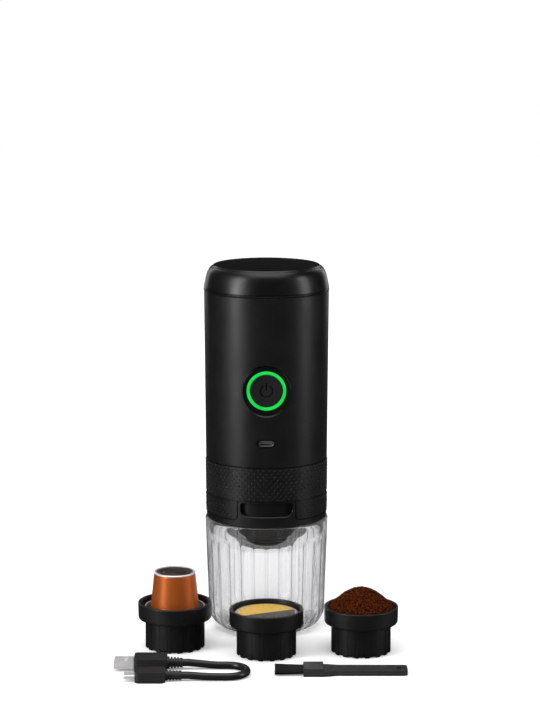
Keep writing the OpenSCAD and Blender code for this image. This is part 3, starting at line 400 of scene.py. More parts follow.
# Gives the body's tapered outside its true normals, whatever its faces are
def smoothCone(obj, likeness=0.985):
    mesh = obj.data
    slope = machine["taper"] / (machine["shoulderZ"] - machine["baseZ"])
    normals = [Vector(n.vector) for n in mesh.corner_normals]
    for face in mesh.polygons:
        for corner in face.loop_indices:
            point = mesh.vertices[mesh.loops[corner].vertex_index].co
            away = Vector((point.x, point.y, 0)).normalized()
            true = (away - Vector((0, 0, slope))).normalized()
            if face.normal.dot(true) > likeness and away.length:
                normals[corner] = true
    mesh.normals_split_custom_set(normals)


# Geometry node trees
def newTree(name, inputs):
    tree = bpy.data.node_groups.new(name, "GeometryNodeTree")
    for label, kind, value in inputs:
        socket = tree.interface.new_socket(label, in_out="INPUT", socket_type="NodeSocket" + kind)
        if value is not None:
            socket.default_value = value
    tree.interface.new_socket("Geometry", in_out="OUTPUT", socket_type="NodeSocketGeometry")
    return tree, putNode(tree, "NodeGroupInput").outputs


def endTree(tree, geometry, given):
    whole = result(tree, "GeometryNodeRealizeInstances", {"Geometry": geometry})
    painted = result(tree, "GeometryNodeSetMaterial", {
        "Geometry": whole, "Material": given["Material"]})
    putNode(tree, "NodeGroupOutput", {0: painted})
    return tree


def growPiece(name, tree, material, values, source=None):
    obj = source or freshObject(name)
    values = dict(values, Material=materials[material])
    modifier = obj.modifiers.new("Grow", "NODES")
    modifier.node_group = tree
    for item in tree.interface.items_tree:
        if item.item_type == "SOCKET" and item.in_out == "INPUT" and item.name in values:
            modifier[item.identifier] = values[item.name]
    bakeModifiers(obj)
    return obj


# A screw thread: a rounded ridge along a helix that runs out at both ends
tree, given = newTree("Thread ridge", [
    ("Radius", "Float", 0.03), ("Start height", "Float", 0.0), ("Pitch", "Float", 0.003),
    ("Turns", "Float", 2.0), ("Ridge radius", "Float", 0.0008), ("Start angle", "Float", 0.0),
    ("Run out", "Float", 16.0), ("Material", "Material", None)])
helix = result(tree, "GeometryNodeCurveSpiral", {
    "Resolution": 96, "Rotations": given["Turns"], "Start Radius": given["Radius"],
    "End Radius": given["Radius"], "Height": times(tree, given["Pitch"], given["Turns"])})
along = putNode(tree, "GeometryNodeSplineParameter").outputs["Factor"]
fromEnd = calc(tree, "MINIMUM", along, calc(tree, "SUBTRACT", 1.0, along))
runOut = calc(tree, "MINIMUM", times(tree, fromEnd, given["Run out"]), 1.0)
helixSize = result(tree, "GeometryNodeSetCurveRadius", {
    "Curve": helix, "Radius": runOut})
ridgeShape = result(tree, "GeometryNodeCurvePrimitiveCircle", {
    "Resolution": 10, "Radius": given["Ridge radius"]})
ridge = putNode(tree, "GeometryNodeCurveToMesh", {
    "Curve": helixSize, "Profile Curve": ridgeShape})
if "Scale" in ridge.inputs:
    feed(ridge, "Scale", runOut)
threadPlace = result(tree, "GeometryNodeTransform", {
    "Geometry": ridge.outputs[0], "Translation": vector(tree, Z=given["Start height"]),
    "Rotation": vector(tree, Z=given["Start angle"])})
threadTree = endTree(tree, threadPlace, given)


def addThread(target, plan):
    thread = growPiece("thread", threadTree, "satinBlack", {
        "Radius": plan["threadR"] * mm, "Start height": plan["threadZ"] * mm,
        "Pitch": plan["pitch"] * mm, "Turns": plan["turns"], "Ridge radius": plan["ridge"] * mm,
        "Start angle": radians(plan["startAngle"])})
    mergeMesh(thread)
    return joinInto(target, thread)


# Copies of one object in a ring about the upright axis
tree, given = newTree("Ring of copies", [
    ("Geometry", "Geometry", None), ("Count", "Int", 12), ("First angle", "Float", 0.0),
    ("Material", "Material", None)])
ringPoints = result(tree, "GeometryNodePoints", {"Count": given["Count"]})
ringStep = calc(tree, "DIVIDE", 2 * pi, given["Count"])
ringIndex = result(tree, "GeometryNodeInputIndex")
ringAngle = plus(tree, times(tree, ringStep, ringIndex), given["First angle"])
ringCopies = copiesAt(tree, ringPoints, given["Geometry"], vector(tree, Z=ringAngle))
ringOfTree = endTree(tree, ringCopies, given)

# Raised dashes in staggered rows round a tapered sleeve, slanting towards the front on both sides
tree, given = newTree("Grip dashes", [
    ("Columns", "Int", 74), ("Rows", "Int", 12), ("First height", "Float", 0.09),
    ("Row step", "Float", 0.0016), ("Low radius", "Float", 0.038), ("Radius gain", "Float", 0.0),
    ("Length", "Float", 0.0016), ("Width", "Float", 0.0006), ("Rise", "Float", 0.0003),
    ("Clear half width", "Float", 0.0), ("Slant", "Float", 0.75), ("Material", "Material", None)])
dashPoints = result(tree, "GeometryNodePoints", {
    "Count": times(tree, given["Columns"], given["Rows"])})
dashIndex = result(tree, "GeometryNodeInputIndex")
dashRow = calc(tree, "FLOOR", calc(tree, "DIVIDE", plus(tree, dashIndex, 0.5), given["Columns"]))
dashShift = times(tree, calc(tree, "MODULO", dashRow, 2.0), 0.5)
dashColumn = plus(tree, calc(tree, "MODULO", dashIndex, given["Columns"]), dashShift)
dashAngle = times(tree, dashColumn, calc(tree, "DIVIDE", 2 * pi, given["Columns"]))
dashRadius = plus(tree, given["Low radius"], times(tree, dashRow, given["Radius gain"]))
dashX = times(tree, calc(tree, "COSINE", dashAngle), dashRadius)
dashY = times(tree, calc(tree, "SINE", dashAngle), dashRadius)
dashZ = plus(tree, given["First height"], times(tree, dashRow, given["Row step"]))
dashPlaced = result(tree, "GeometryNodeSetPosition", {
    "Geometry": dashPoints, "Position": vector(tree, X=dashX, Y=dashY, Z=dashZ)})
inFront = calc(tree, "LESS_THAN", dashY, 0.0)
inPanel = calc(tree, "LESS_THAN", calc(tree, "ABSOLUTE", dashX), given["Clear half width"])
dashKept = result(tree, "GeometryNodeDeleteGeometry", {
    "Geometry": dashPlaced, "Selection": times(tree, inFront, inPanel)},
    domain="POINT")
dashShape = result(tree, "GeometryNodeMeshUVSphere", {
    "Segments": 8, "Rings": 5, "Radius": 1.0})
dashScale = vector(tree, X=given["Rise"], Y=times(tree, given["Length"], 0.5),
                   Z=times(tree, given["Width"], 0.5))
dashSlant = times(tree, calc(tree, "SIGN", dashX), given["Slant"])
dashTurn = result(tree, "FunctionNodeRotateEuler", {
    0: vector(tree, X=dashSlant), 1: vector(tree, Z=dashAngle)}, space="OBJECT")
dashTree = endTree(tree, copiesAt(tree, dashKept, dashShape, dashTurn, dashScale), given)

# Bristles: thin tapered strands in round tufts, leaning out a little more towards a tuft's edge
tree, given = newTree("Bristle tuft", [
    ("Count", "Int", 100), ("Tuft radius", "Float", 0.0015), ("Length", "Float", 0.017),
    ("Strand radius", "Float", 0.0001), ("Taper", "Float", 0.6), ("Flare", "Float", 0.25),
    ("Seed", "Int", 5), ("Material", "Material", None)])
strandPoints = result(tree, "GeometryNodePoints", {"Count": given["Count"]})
strandIndex = result(tree, "GeometryNodeInputIndex")
share = calc(tree, "SQRT", calc(tree, "DIVIDE", plus(tree, strandIndex, 0.5), given["Count"]))
goldenAngle = 2.39996
strandAngle = times(tree, strandIndex, goldenAngle)
strandOut = times(tree, share, given["Tuft radius"])
strandY = times(tree, calc(tree, "COSINE", strandAngle), strandOut)
strandZ = times(tree, calc(tree, "SINE", strandAngle), strandOut)
strandPlaced = result(tree, "GeometryNodeSetPosition", {
    "Geometry": strandPoints, "Position": vector(tree, Y=strandY, Z=strandZ)})
strandLine = result(tree, "GeometryNodeMeshCone", {
    "Vertices": 5, "Side Segments": 3, "Radius Bottom": given["Strand radius"],
    "Radius Top": times(tree, given["Strand radius"], given["Taper"]), "Depth": given["Length"]})
most = 0.02
jitter = result(tree, "FunctionNodeRandomValue", {
    0: (-most, -most, -most), 1: (most, most, most), "Seed": given["Seed"]},
    data_type="FLOAT_VECTOR")
flarePer = calc(tree, "DIVIDE", given["Flare"], given["Length"])
strandTilt = vector(tree, Y=plus(tree, times(tree, strandZ, flarePer), -pi / 2),
                    Z=times(tree, times(tree, strandY, flarePer), -1.0))
strandTurn = result(tree, "ShaderNodeVectorMath", {
    0: strandTilt, 1: jitter}, operation="ADD")
bristleTree = endTree(tree, copiesAt(tree, strandPlaced, strandLine, strandTurn), given)

# Loose grains scattered over a surface
tree, given = newTree("Loose grains", [
    ("Geometry", "Geometry", None), ("Density", "Float", 2000000.0), ("Smallest", "Float", 0.0003),
    ("Largest", "Float", 0.0008), ("Seed", "Int", 3), ("Material", "Material", None)])
grainSpots = putNode(tree, "GeometryNodeDistributePointsOnFaces", {
    "Mesh": given["Geometry"], "Density": given["Density"], "Seed": given["Seed"]})
grainShape = result(tree, "GeometryNodeMeshIcoSphere", {"Radius": 1.0, "Subdivisions": 1})
grainSize = putNode(tree, "FunctionNodeRandomValue", {
    2: given["Smallest"], 3: given["Largest"], "Seed": given["Seed"]}, data_type="FLOAT")
fullTurn = (6.28, 6.28, 6.28)
grainTurn = result(tree, "FunctionNodeRandomValue", {
    0: (0, 0, 0), 1: fullTurn, "Seed": given["Seed"]}, data_type="FLOAT_VECTOR")
grainCopies = copiesAt(tree, grainSpots.outputs["Points"], grainShape, grainTurn,
                       grainSize.outputs[1])
grainBoth = putNode(tree, "GeometryNodeJoinGeometry", {0: grainCopies})
feed(grainBoth, 0, given["Geometry"])
grainTree = endTree(tree, grainBoth.outputs[0], given)
print("node trees ready")

# Cable: the cord's route is the one that its solid follows
cable = {
    "diameter": 4.5, "sides": 18, "stepsBetween": 6,
    "route": [
        (-50, -98.5, 4), (-46, -98.5, 4), (-42, -98.5, 3.6), (-38, -98.5, 3.2), (-34, -98.5, 2.8),
        (-30, -98.5, 2.5), (-26.5, -98.5, 2.4), (-23, -98.5, 2.4), (-19.1, -99.2, 2.4),
        (-15.6, -101.2, 2.4), (-13, -104.3, 2.4), (-11.7, -108, 2.4), (-11.7, -112, 2.4),
        (-13, -115.7, 2.4), (-15.6, -118.8, 2.4), (-19.1, -120.8, 2.4), (-23, -121.5, 2.4),
        (-26.5, -121.5, 2.4), (-30, -121.5, 2.4), (-34, -121.5, 2.5), (-38, -121.5, 2.7),
        (-42, -121.5, 3), (-46, -121.5, 3.3), (-50, -121.5, 3.3)],
}


def smoothRoute(points, steps):
    line = []
    for i in range(len(points) - 1):
        before = Vector(points[max(i - 1, 0)])
        here, there = Vector(points[i]), Vector(points[i + 1])
        after = Vector(points[min(i + 2, len(points) - 1)])
        for k in range(steps):
            t = k / steps
            line.append(0.5 * (2 * here + (there - before) * t + (
                2 * before - 5 * here + 4 * there - after) * t * t + (
                3 * here - before - 3 * there + after) * t ** 3))
    return line + [Vector(points[-1])]


def sweepTube(name, line, radius, sides):
    rows = []
    for i, point in enumerate(line):
        ahead = (line[min(i + 1, len(line) - 1)] - line[max(i - 1, 0)]).normalized()
        side = ahead.cross(Vector((0, 0, 1))).normalized()
        up = side.cross(ahead)
        rows.append([point + (side * cos(a) + up * sin(a)) * radius for a in turnsOf(sides)])
    return loft(name, rows, caps=True)


cordLine = smoothRoute(cable["route"], cable["stepsBetween"])
cord = sweepTube("cableCord", cordLine, cable["diameter"] / 2, cable["sides"])
finishPiece(cord, "cable", "cableBlack", ("usb_cord",))
copyOfNode("usb_a_housing", "largePlug", "cable", "plugBlack", bevel=0.35)
smallPlug = copyOfNode("usb_c_housing", "smallPlug", "cable", "plugBlack", bevel=0.3)
copyOfNode("usb_a_shell", "largePlugShell", "cable", "plugSteel", bevel=0.15)
smallShell = copyOfNode("usb_c_shell", "smallPlugShell", "cable", "plugSteel", bevel=0.12)

# Body: shell, sleeves and base keep their solids' shape with true normals
copyOfNode("body_shell", "bodyShell", "machine", "softBlack", cone=True)
copyOfNode("base_housing", "baseHousing", "machine", "softBlack", cone=True)
band = copyOfNode("upper_grip_band", "gripBand", "machine", "gripBlack", cone=True)
sleeve = copyOfNode("lower_grip_sleeve", "gripSleeve", "machine", "gripBlack", cone=True)

grip = {"columns": 68, "rowStep": 2.05, "length": 1.75, "width": 0.85, "rise": 0.45, "edge": 1.2,
        "panelHalf": 22.3, "gap": 0.3}


def addDashes(target, lowZ, highZ, clearHalf):
    rows = int((highZ - lowZ - 2 * grip["edge"]) / grip["rowStep"]) + 1
    first = (lowZ + highZ - (rows - 1) * grip["rowStep"]) / 2
    gain = bodyRadius(first + grip["rowStep"]) - bodyRadius(first)
    dashes = growPiece(target.name + "Dashes", dashTree, "gripBlack", {
        "Columns": grip["columns"], "Rows": rows, "First height": first * mm,
        "Row step": grip["rowStep"] * mm, "Low radius": bodyRadius(first) * mm,
        "Radius gain": gain * mm, "Length": grip["length"] * mm, "Width": grip["width"] * mm,
        "Rise": grip["rise"] * mm, "Clear half width": clearHalf * mm})
    finishPiece(dashes, "machine", "gripBlack", weighted=False, sharp=80)


panel = {"half": 18.1, "flare": 3.0, "seam": 0.34}


# The seam line, a raised tube in a duller black that paints the groove's shade: down the panel's
# sides and out over its flare, then round the back
def panelSeam():
    low, high, flare = machine["stripZ"], machine["seamLowZ"] - grip["gap"], panel["flare"]
    side = [(panel["half"], z) for z in (high, high - 2, high - 5, low + flare + 2, low + flare)]
    side += [(panel["half"] + flare * (1 - cos(t)), low + flare * (1 - sin(t)))
             for t in (pi * k / 16 for k in range(1, 9))]
    edge = bodyRadius(low)
    corner = atan2(-sqrt(edge ** 2 - side[-1][0] ** 2), side[-1][0])
    line = []
    for x, z in side:
        r = bodyRadius(z)
        line.append(Vector((x, -sqrt(r * r - x * x), z)))
    rear = [Vector((edge * cos(a), edge * sin(a), low)) for a in (
        corner + (pi - 2 * corner) * k / 90 for k in range(1, 90))]
    return line + rear + [Vector((-p.x, p.y, p.z)) for p in reversed(line)]


seamLine = sweepTube("panelSeam", panelSeam(), panel["seam"], 8)
finishPiece(seamLine, "machine", "grooveShadeBlack", weighted=False)
addDashes(band, machine["seamLowZ"], machine["seamUpZ"] - grip["gap"], 0.0)
addDashes(sleeve, machine["stripZ"], machine["seamLowZ"] - grip["gap"], grip["panelHalf"])

# Button with its lit ring and bezel, turned about its axis: here z is the depth from the middle
button = {"radius": 10.05, "lightIn": 10.35, "lightOut": 12.1, "bezelOut": 15.05, "flangeR": 16.65,
          "flangeZ": 30.6, "depth": 4, "proud": 0.1, "dish": 0.5, "iconRadius": 3.7,
          "iconWidth": 0.85, "iconGap": 62, "iconSteps": 40, "barHeight": 4.7, "engrave": 0.7}
face = machine["faceY"]
back = face - button["depth"]
proud = face + button["proud"]
buttonBody = faceFront(revolve("powerButton", [
    (0, back), (button["radius"], back), (button["radius"], proud, 0.3),
    (button["radius"] * 0.7, face - 0.12, 4), (0, face - button["dish"])], False, 96))


# The power symbol as a block to cut with: an open ring and a bar
def powerIcon(depthIn, depthOut):
    arc, half, steps = button["iconRadius"], button["iconWidth"] / 2, button["iconSteps"]
    start, end = radians(90 + button["iconGap"] / 2), radians(450 - button["iconGap"] / 2)
    section = ((arc - half, depthIn), (arc + half, depthIn), (arc + half, depthOut),
               (arc - half, depthOut))
    turns = [start + (end - start) * i / steps for i in range(steps + 1)]
    icon = loft("icon", [[(r * cos(a), r * sin(a), z) for r, z in section] for a in turns],
                caps=True)
    low = arc * 0.12
    high = low + button["barHeight"]
    bar = loft("bar", [[(-half, low, z), (half, low, z), (half, high, z), (-half, high, z)]
                       for z in (depthIn, depthOut)], caps=True)
    return faceFront(joinInto(icon, bar))


iconCutter = powerIcon(face - button["dish"] - button["engrave"], face + 2)
carve = buttonBody.modifiers.new("Carve", "BOOLEAN")
carve.object = iconCutter
carve.solver = "EXACT"
bakeModifiers(buttonBody)
bpy.data.objects.remove(iconCutter)
finishPiece(buttonBody, "button", "buttonBlack", ("power_button",))
lightRing = faceFront(revolve("lightRing", [
    (button["lightIn"], back), (button["lightOut"], back), (button["lightOut"], proud, 0.35),
    (button["lightIn"], proud, 0.35)], True, 128))
finishPiece(lightRing, "machine", "greenLight", ("light_ring",))
bezelIn, flangeZ = button["lightOut"] + 0.1, button["flangeZ"]
bezel = faceFront(revolve("buttonBezel", [
    (bezelIn, flangeZ), (button["flangeR"], flangeZ), (button["flangeR"], flangeZ + 1.1),
    (button["bezelOut"], flangeZ + 1.15), (button["bezelOut"], face - 0.1, 0.4),
    (bezelIn, face - 0.5, 0.3)], True, 128))
finishPiece(bezel, "machine", "satinBlack", ("button_bezel",))
copyOfNode("usb_receptacle", "chargingPort", "machine", "portSteel", bevel=0.06)
print("body, grips and button done")

# Tank neck with the lid's thread
tank = {"topZ": 222.1, "floorZ": 176.1, "outR": 35.9, "inR": 33.9, "threadR": 35.85,
        "threadZ": 216.6, "pitch": 2.9, "turns": 1.9, "ridge": 0.75, "startAngle": 250}
neck = revolve("tankNeck", [
    (tank["inR"], tank["topZ"], 0.5), (tank["outR"], tank["topZ"], 0.5), (tank["outR"], 209.9),
    (36.02, 209.9), (36.02, 204.9), (34.9, 204.9), (30, 198), (30, tank["floorZ"]),
    (21, tank["floorZ"]), (21, tank["floorZ"] + 2), (28, tank["floorZ"] + 2, 3), (28, 199, 6),
    (tank["inR"], 205.9, 6)], True, 160)
addThread(neck, tank)
finishPiece(neck, "machine", "satinBlack", ("water_tank",))

# Lid: ring with a line above its rim, inset dome, threaded skirt
lid = {"rimZ": 215.1, "rimR": 39.2, "skirtR": 37.2, "discR": 31.6, "discZ": 14}
rimR, skirtR, discR, discZ = lid["rimR"], lid["skirtR"], lid["discR"], lid["discZ"]
turned("lidRing", "lid", "satinBlack", [
    (36.78, -4.6, 0.15), (skirtR, -4.6, 0.2), (skirtR, -3.3, 0.1), (36.98, -3.1), (36.98, -2.6),
    (skirtR, -2.4, 0.1), (skirtR, -1.2, 0.1), (37.0, -1.05), (37.0, -0.5), (skirtR, 0, 0.05),
    (rimR - 0.1, 0, 0.4), (rimR, 1.0, 0.2), (rimR - 0.55, 1.3), (rimR - 0.55, 1.6),
    (rimR - 0.1, 1.9, 0.2), (rimR - 0.35, 3.6), (rimR - 0.8, 5.7), (rimR - 1.25, 8),
    (rimR - 1.8, 10.2), (rimR - 2.5, 12), (rimR - 3.3, 13.4), (rimR - 4.2, 14.5),
    (rimR - 5.0, 15.1), (rimR - 5.3, 15.15), (rimR - 5.6, 15.5), (rimR - 6.2, 16.05, 0.3),
    (rimR - 7, 16.2, 0.3), (rimR - 7.15, discZ), (0, discZ), (0, 10.6), (36.2, 10.6, 1),
    (36.78, 6)], ("lid_shell",), False, 192, level=lid["rimZ"], sharp=38)
turned("lidDome", "lid", "satinBlack", [
    (0, discZ), (discR, discZ), (discR, 15.75, 0.5), (29, 16.1, 8), (24, 16.62, 20),
    (16, 17.15, 20), (8, 17.46, 20), (0, 17.56)], ("lid_disc",), False, 160, level=lid["rimZ"])

# Brewing chamber, with its threaded flange and spout
chamber = {"floorZ": 58.7, "bodyR": 26.7, "flangeLow": 73.9, "flangeHigh": 82.8, "flangeR": 29.15,
           "topZ": 89.6, "threadR": 29.05, "threadZ": 75.6, "pitch": 2.35, "turns": 2.7,
           "ridge": 0.72, "startAngle": 130, "spoutZ": 52.0, "spoutR": 20.1}
floorZ, bodyR, flangeR = chamber["floorZ"], chamber["bodyR"], chamber["flangeR"]
chamberBody = revolve("chamberBody", [
    (12, floorZ), (bodyR, floorZ, 2.6), (bodyR, chamber["flangeLow"] - 0.5, 0.3),
    (27.8, chamber["flangeLow"], 0.3), (flangeR, chamber["flangeLow"] + 1, 0.4),
    (flangeR, chamber["flangeHigh"] - 0.3, 0.25), (28.2, chamber["flangeHigh"], 0.15),
    (28.2, chamber["topZ"], 0.5), (26.2, chamber["topZ"], 0.4), (26.2, 81.6, 0.3),
    (24.6, 81.3, 0.3), (23.2, 80.9, 0.6), (23.2, floorZ + 2.5, 1), (12, floorZ + 2.5)], True, 160)
addThread(chamberBody, chamber)
finishPiece(chamberBody, "chamber", "satinBlack", ("chamber",))
spoutZ, spoutR = chamber["spoutZ"], chamber["spoutR"]
turned("chamberSpout", "chamber", "satinBlack", [
    (3, spoutZ, 0.4), (spoutR, spoutZ, 2.8), (spoutR, floorZ), (spoutR - 2, floorZ),
    (spoutR - 2, 55.5), (5, 54.2), (3, 54.2)], ("chamber_spout",))
copyOfNode("chamber_screen", "chamberScreen", "chamber_core", "steel")
copyOfNode("chamber_seal", "chamberSeal", "chamber_seal", "satinBlack")
print("tank neck, lid and chamber done")

# Adapters: a plain rim over a body of shallow ribs that end in feet
adapter = {"height": 28.5, "rimR": 22.7, "rimZ": 18.2, "rimInR": 20.6, "seatZ": 25.0, "bodyR": 18.1,
           "boreR": 15.3, "floorZ": 3.0, "footZ": 0.4, "ribs": 16, "ribWidth": 3.4,
           "ribDepth": 1.8, "ribProud": 0.16, "ribLift": 0.05, "ribOver": 0.5, "ribBevel": 0.25,
           "footBevel": 0.45}


def adapterRibs(a):
    rib = freshObject("rib")
    depth, height = a["ribDepth"], a["rimZ"] - a["footZ"] + a["ribOver"]
    middle = Vector((a["bodyR"] + a["ribProud"] - depth / 2, 0, height / 2 + a["ribLift"]))
    block = bmesh.new()
    bmesh.ops.create_cube(block, size=1.0)
    bmesh.ops.scale(block, verts=block.verts, vec=Vector((depth, a["ribWidth"], height)) * mm)
    bmesh.ops.translate(block, verts=block.verts, vec=middle * mm)
    upright = [e for e in block.edges if abs(e.verts[0].co.z - e.verts[1].co.z) > mm]
    bmesh.ops.bevel(block, geom=upright, offset=a["ribBevel"] * mm, segments=2, affect="EDGES",
                    profile=0.5)
    foot = [e for e in block.edges if max(v.co.z for v in e.verts) < mm]
    bmesh.ops.bevel(block, geom=foot, offset=a["footBevel"] * mm, segments=2, affect="EDGES")
    block.to_mesh(rib.data)
    block.free()
    return growPiece("ribs", ringOfTree, "adapterBlack", {
        "Count": a["ribs"], "First angle": pi / a["ribs"]}, rib)


def makeAdapter(kind, centre):
    a = adapter
    rimR, rimIn, bodyR, bore = a["rimR"], a["rimInR"], a["bodyR"], a["boreR"]
    foot, floorZ, seat, height = a["footZ"], a["floorZ"], a["seatZ"], a["height"]
    shell = revolve(kind + "Adapter", [
        (7, foot, 0.2), (bodyR - 0.9, foot, 0.6), (bodyR, foot + 1.2, 0.6),
        (bodyR, a["rimZ"], 0.25), (rimR - 0.2, a["rimZ"], 1.3), (rimR, height, 0.5),
        (rimIn, height, 0.5), (rimIn - 0.15, seat, 0.3), (bore + 1.6, seat, 0.1),
        (bore + 1.4, seat - 0.4), (bore + 1.0, seat - 0.4), (bore + 0.8, seat, 0.1),
        (bore, seat, 0.3), (bore, floorZ, 0.5), (7, floorZ, 0.2)], True, 128)
    joinInto(shell, adapterRibs(a))
    shell.data.transform(Matrix.Translation(Vector((*centre, 0)) * mm))
    node = kind + "_adapter"
    return finishPiece(shell, node, "adapterBlack", (node,))


for kind, centre in places.items():
    makeAdapter(kind, centre)

# Capsule: coloured body, rolled silver edge and a dark cap with plain rings
capsule = {"seatZ": 25.3, "height": 22.5, "flangeR": 18.5, "baseR": 14.7}
lowPlace = dict(centre=places["capsule"], level=capsule["seatZ"])
topPlace = dict(centre=places["capsule"], level=capsule["seatZ"] + capsule["height"])
top, baseR, flangeR = capsule["height"], capsule["baseR"], capsule["flangeR"]
turned("capsuleBody", "capsule", "copperFoil", [
    (14.2, 0), (14.9, 0), (15.0, 0.85, 0.3), (baseR, 2.2, 1.2), (12.75, top - 1.9, 0.5),
    (12.4, top - 1.1), (12.0, top - 1.0), (11.6, top - 1.6), (14.0, 1.6)], ("capsule_cup",),
    sharp=45, **lowPlace)
turned("capsuleFlange", "capsule", "darkFlange", [
    (baseR, 0), (17.9, 0), (17.9, 0.5, 0.1), (16.6, 0.45), (16.2, 0.65, 0.2), (15.6, 0.65, 0.2),
    (baseR, 0.9)], **lowPlace)
flangeRim = revolve("capsuleEdge", [
    (17.7, -0.05), (flangeR - 0.3, -0.1, 0.3), (flangeR, 0.4, 0.3), (flangeR - 0.3, 0.95, 0.3),
    (17.7, 0.8, 0.2)], True, 128, **lowPlace)
capRim = revolve("capRim", [
    (11.7, -1.0), (12.75, -1.15, 0.3), (12.95, -0.5, 0.3), (12.3, 0, 0.3), (11.3, -0.35, 0.2),
    (11.3, -0.9)], True, 128, **topPlace)
joinInto(flangeRim, capRim)
finishPiece(flangeRim, "capsule", "silverRim")
turned("capsuleCap", "capsule", "capsuleCap", [
    (0, -1.2), (11.5, -1.2), (11.5, -0.45), (10.3, -0.75, 0.3), (9.7, -0.35, 0.3),
    (8.2, -0.25, 0.3), (7.8, -0.5, 0.2), (7.3, -0.5, 0.2), (6.9, -0.2, 0.3), (3.2, -0.12, 0.3),
    (2.8, -0.3, 0.2), (0, -0.3)], closed=False, segments=96, **topPlace)

# Pod: coloured cup with a pale flange and a printed foil
pod = {"seatZ": 25.0, "height": 17.0, "flangeR": 19.3, "baseR": 15.0}
podPlace = dict(centre=places["pod"], level=pod["seatZ"])
low, baseR, flangeR = -pod["height"], pod["baseR"], pod["flangeR"]
turned("podBody", "pod", "goldPod", [
    (0, low + 0.6), (11.9, low + 0.6, 1), (14.4, -0.2), (14.4, 0.9), (baseR + 0.4, 0.9),
    (baseR, -0.3, 0.4), (12.6, low + 1.6, 1.2), (11.2, low, 0.8), (0, low)], ("pod_cup",),
    closed=False, sharp=45, **podPlace)
turned("podFlange", "pod", "podFlange", [
    (baseR, 0.05), (flangeR - 0.4, 0.05, 0.2), (flangeR, 0.45, 0.3), (flangeR - 0.3, 0.98, 0.2),
    (18.0, 1.0), (baseR, 0.98)], segments=144, **podPlace)
turned("podFoilTop", "pod", "podFoil", [
    (0, 0.95), (17.4, 0.95), (17.6, 1.2, 0.1), (17.2, 1.32, 0.1), (12, 1.42, 2), (0, 1.5)],
    ("pod_foil",), closed=False, sharp=50, **podPlace)

# Ground coffee: an uneven heap with loose grains on it, in its steel basket
heap = {"lowZ": 24.4, "edgeR": 19.7, "edgeZ": 26.9, "peak": 39.3, "noiseScale": 0.003,
        "uneven": 0.0012, "grains": 1700000, "grainSizes": (0.3, 0.75), "seed": 11, "sink": 0.1}
coffee = revolve("groundCoffee", [
    (0, heap["lowZ"]), (heap["edgeR"] - 0.3, heap["lowZ"]), (heap["edgeR"], heap["edgeZ"]),
    (19.0, 28.0), (17.8, 29.5), (16.2, 31.0), (14.4, 32.6), (12.4, 34.2), (10.4, 35.8),
    (8.4, 37.1), (6.4, 38.1), (4.4, 38.8), (2.2, 39.2), (0, heap["peak"])], False, 72,
    places["coffee"])
unevenTexture = bpy.data.textures.new("uneven", "CLOUDS")
unevenTexture.noise_scale = heap["noiseScale"]
uneven = coffee.modifiers.new("Uneven", "DISPLACE")
uneven.texture = unevenTexture
uneven.strength = heap["uneven"]
uneven.mid_level = 0.5
bakeModifiers(coffee)
growPiece("groundCoffee", grainTree, "groundCoffee", {
    "Density": heap["grains"], "Smallest": heap["grainSizes"][0] * mm,
    "Largest": heap["grainSizes"][1] * mm, "Seed": heap["seed"]}, coffee)
for vertex in coffee.data.vertices:
    vertex.co.z = max(vertex.co.z, (heap["lowZ"] - heap["sink"]) * mm)
finishPiece(coffee, "filter", "groundCoffee", ("ground_coffee",), weighted=False, sharp=60)
copyOfNode("coffee_filter", "coffeeBasket", "filter", "steel")
print("adapters, capsule, pod and coffee done")

# Cup: clear wall with shallow flutes that start below its rim and run under its base
cup = {"height": 71.0, "rimR": 38.7, "lowR": 36.6, "curve": 12.0, "wall": 2.6, "floorZ": 3.0,
       "lip": 0.9, "flutes": 28, "perFlute": 14, "fluteTop": 60.8, "groove": 0.5, "width": 0.085,
       "edgeShadeWidth": 0.06, "arch": 3.5, "fade": 1.2, "swell": 0.1, "footShadowWidth": 2.5}


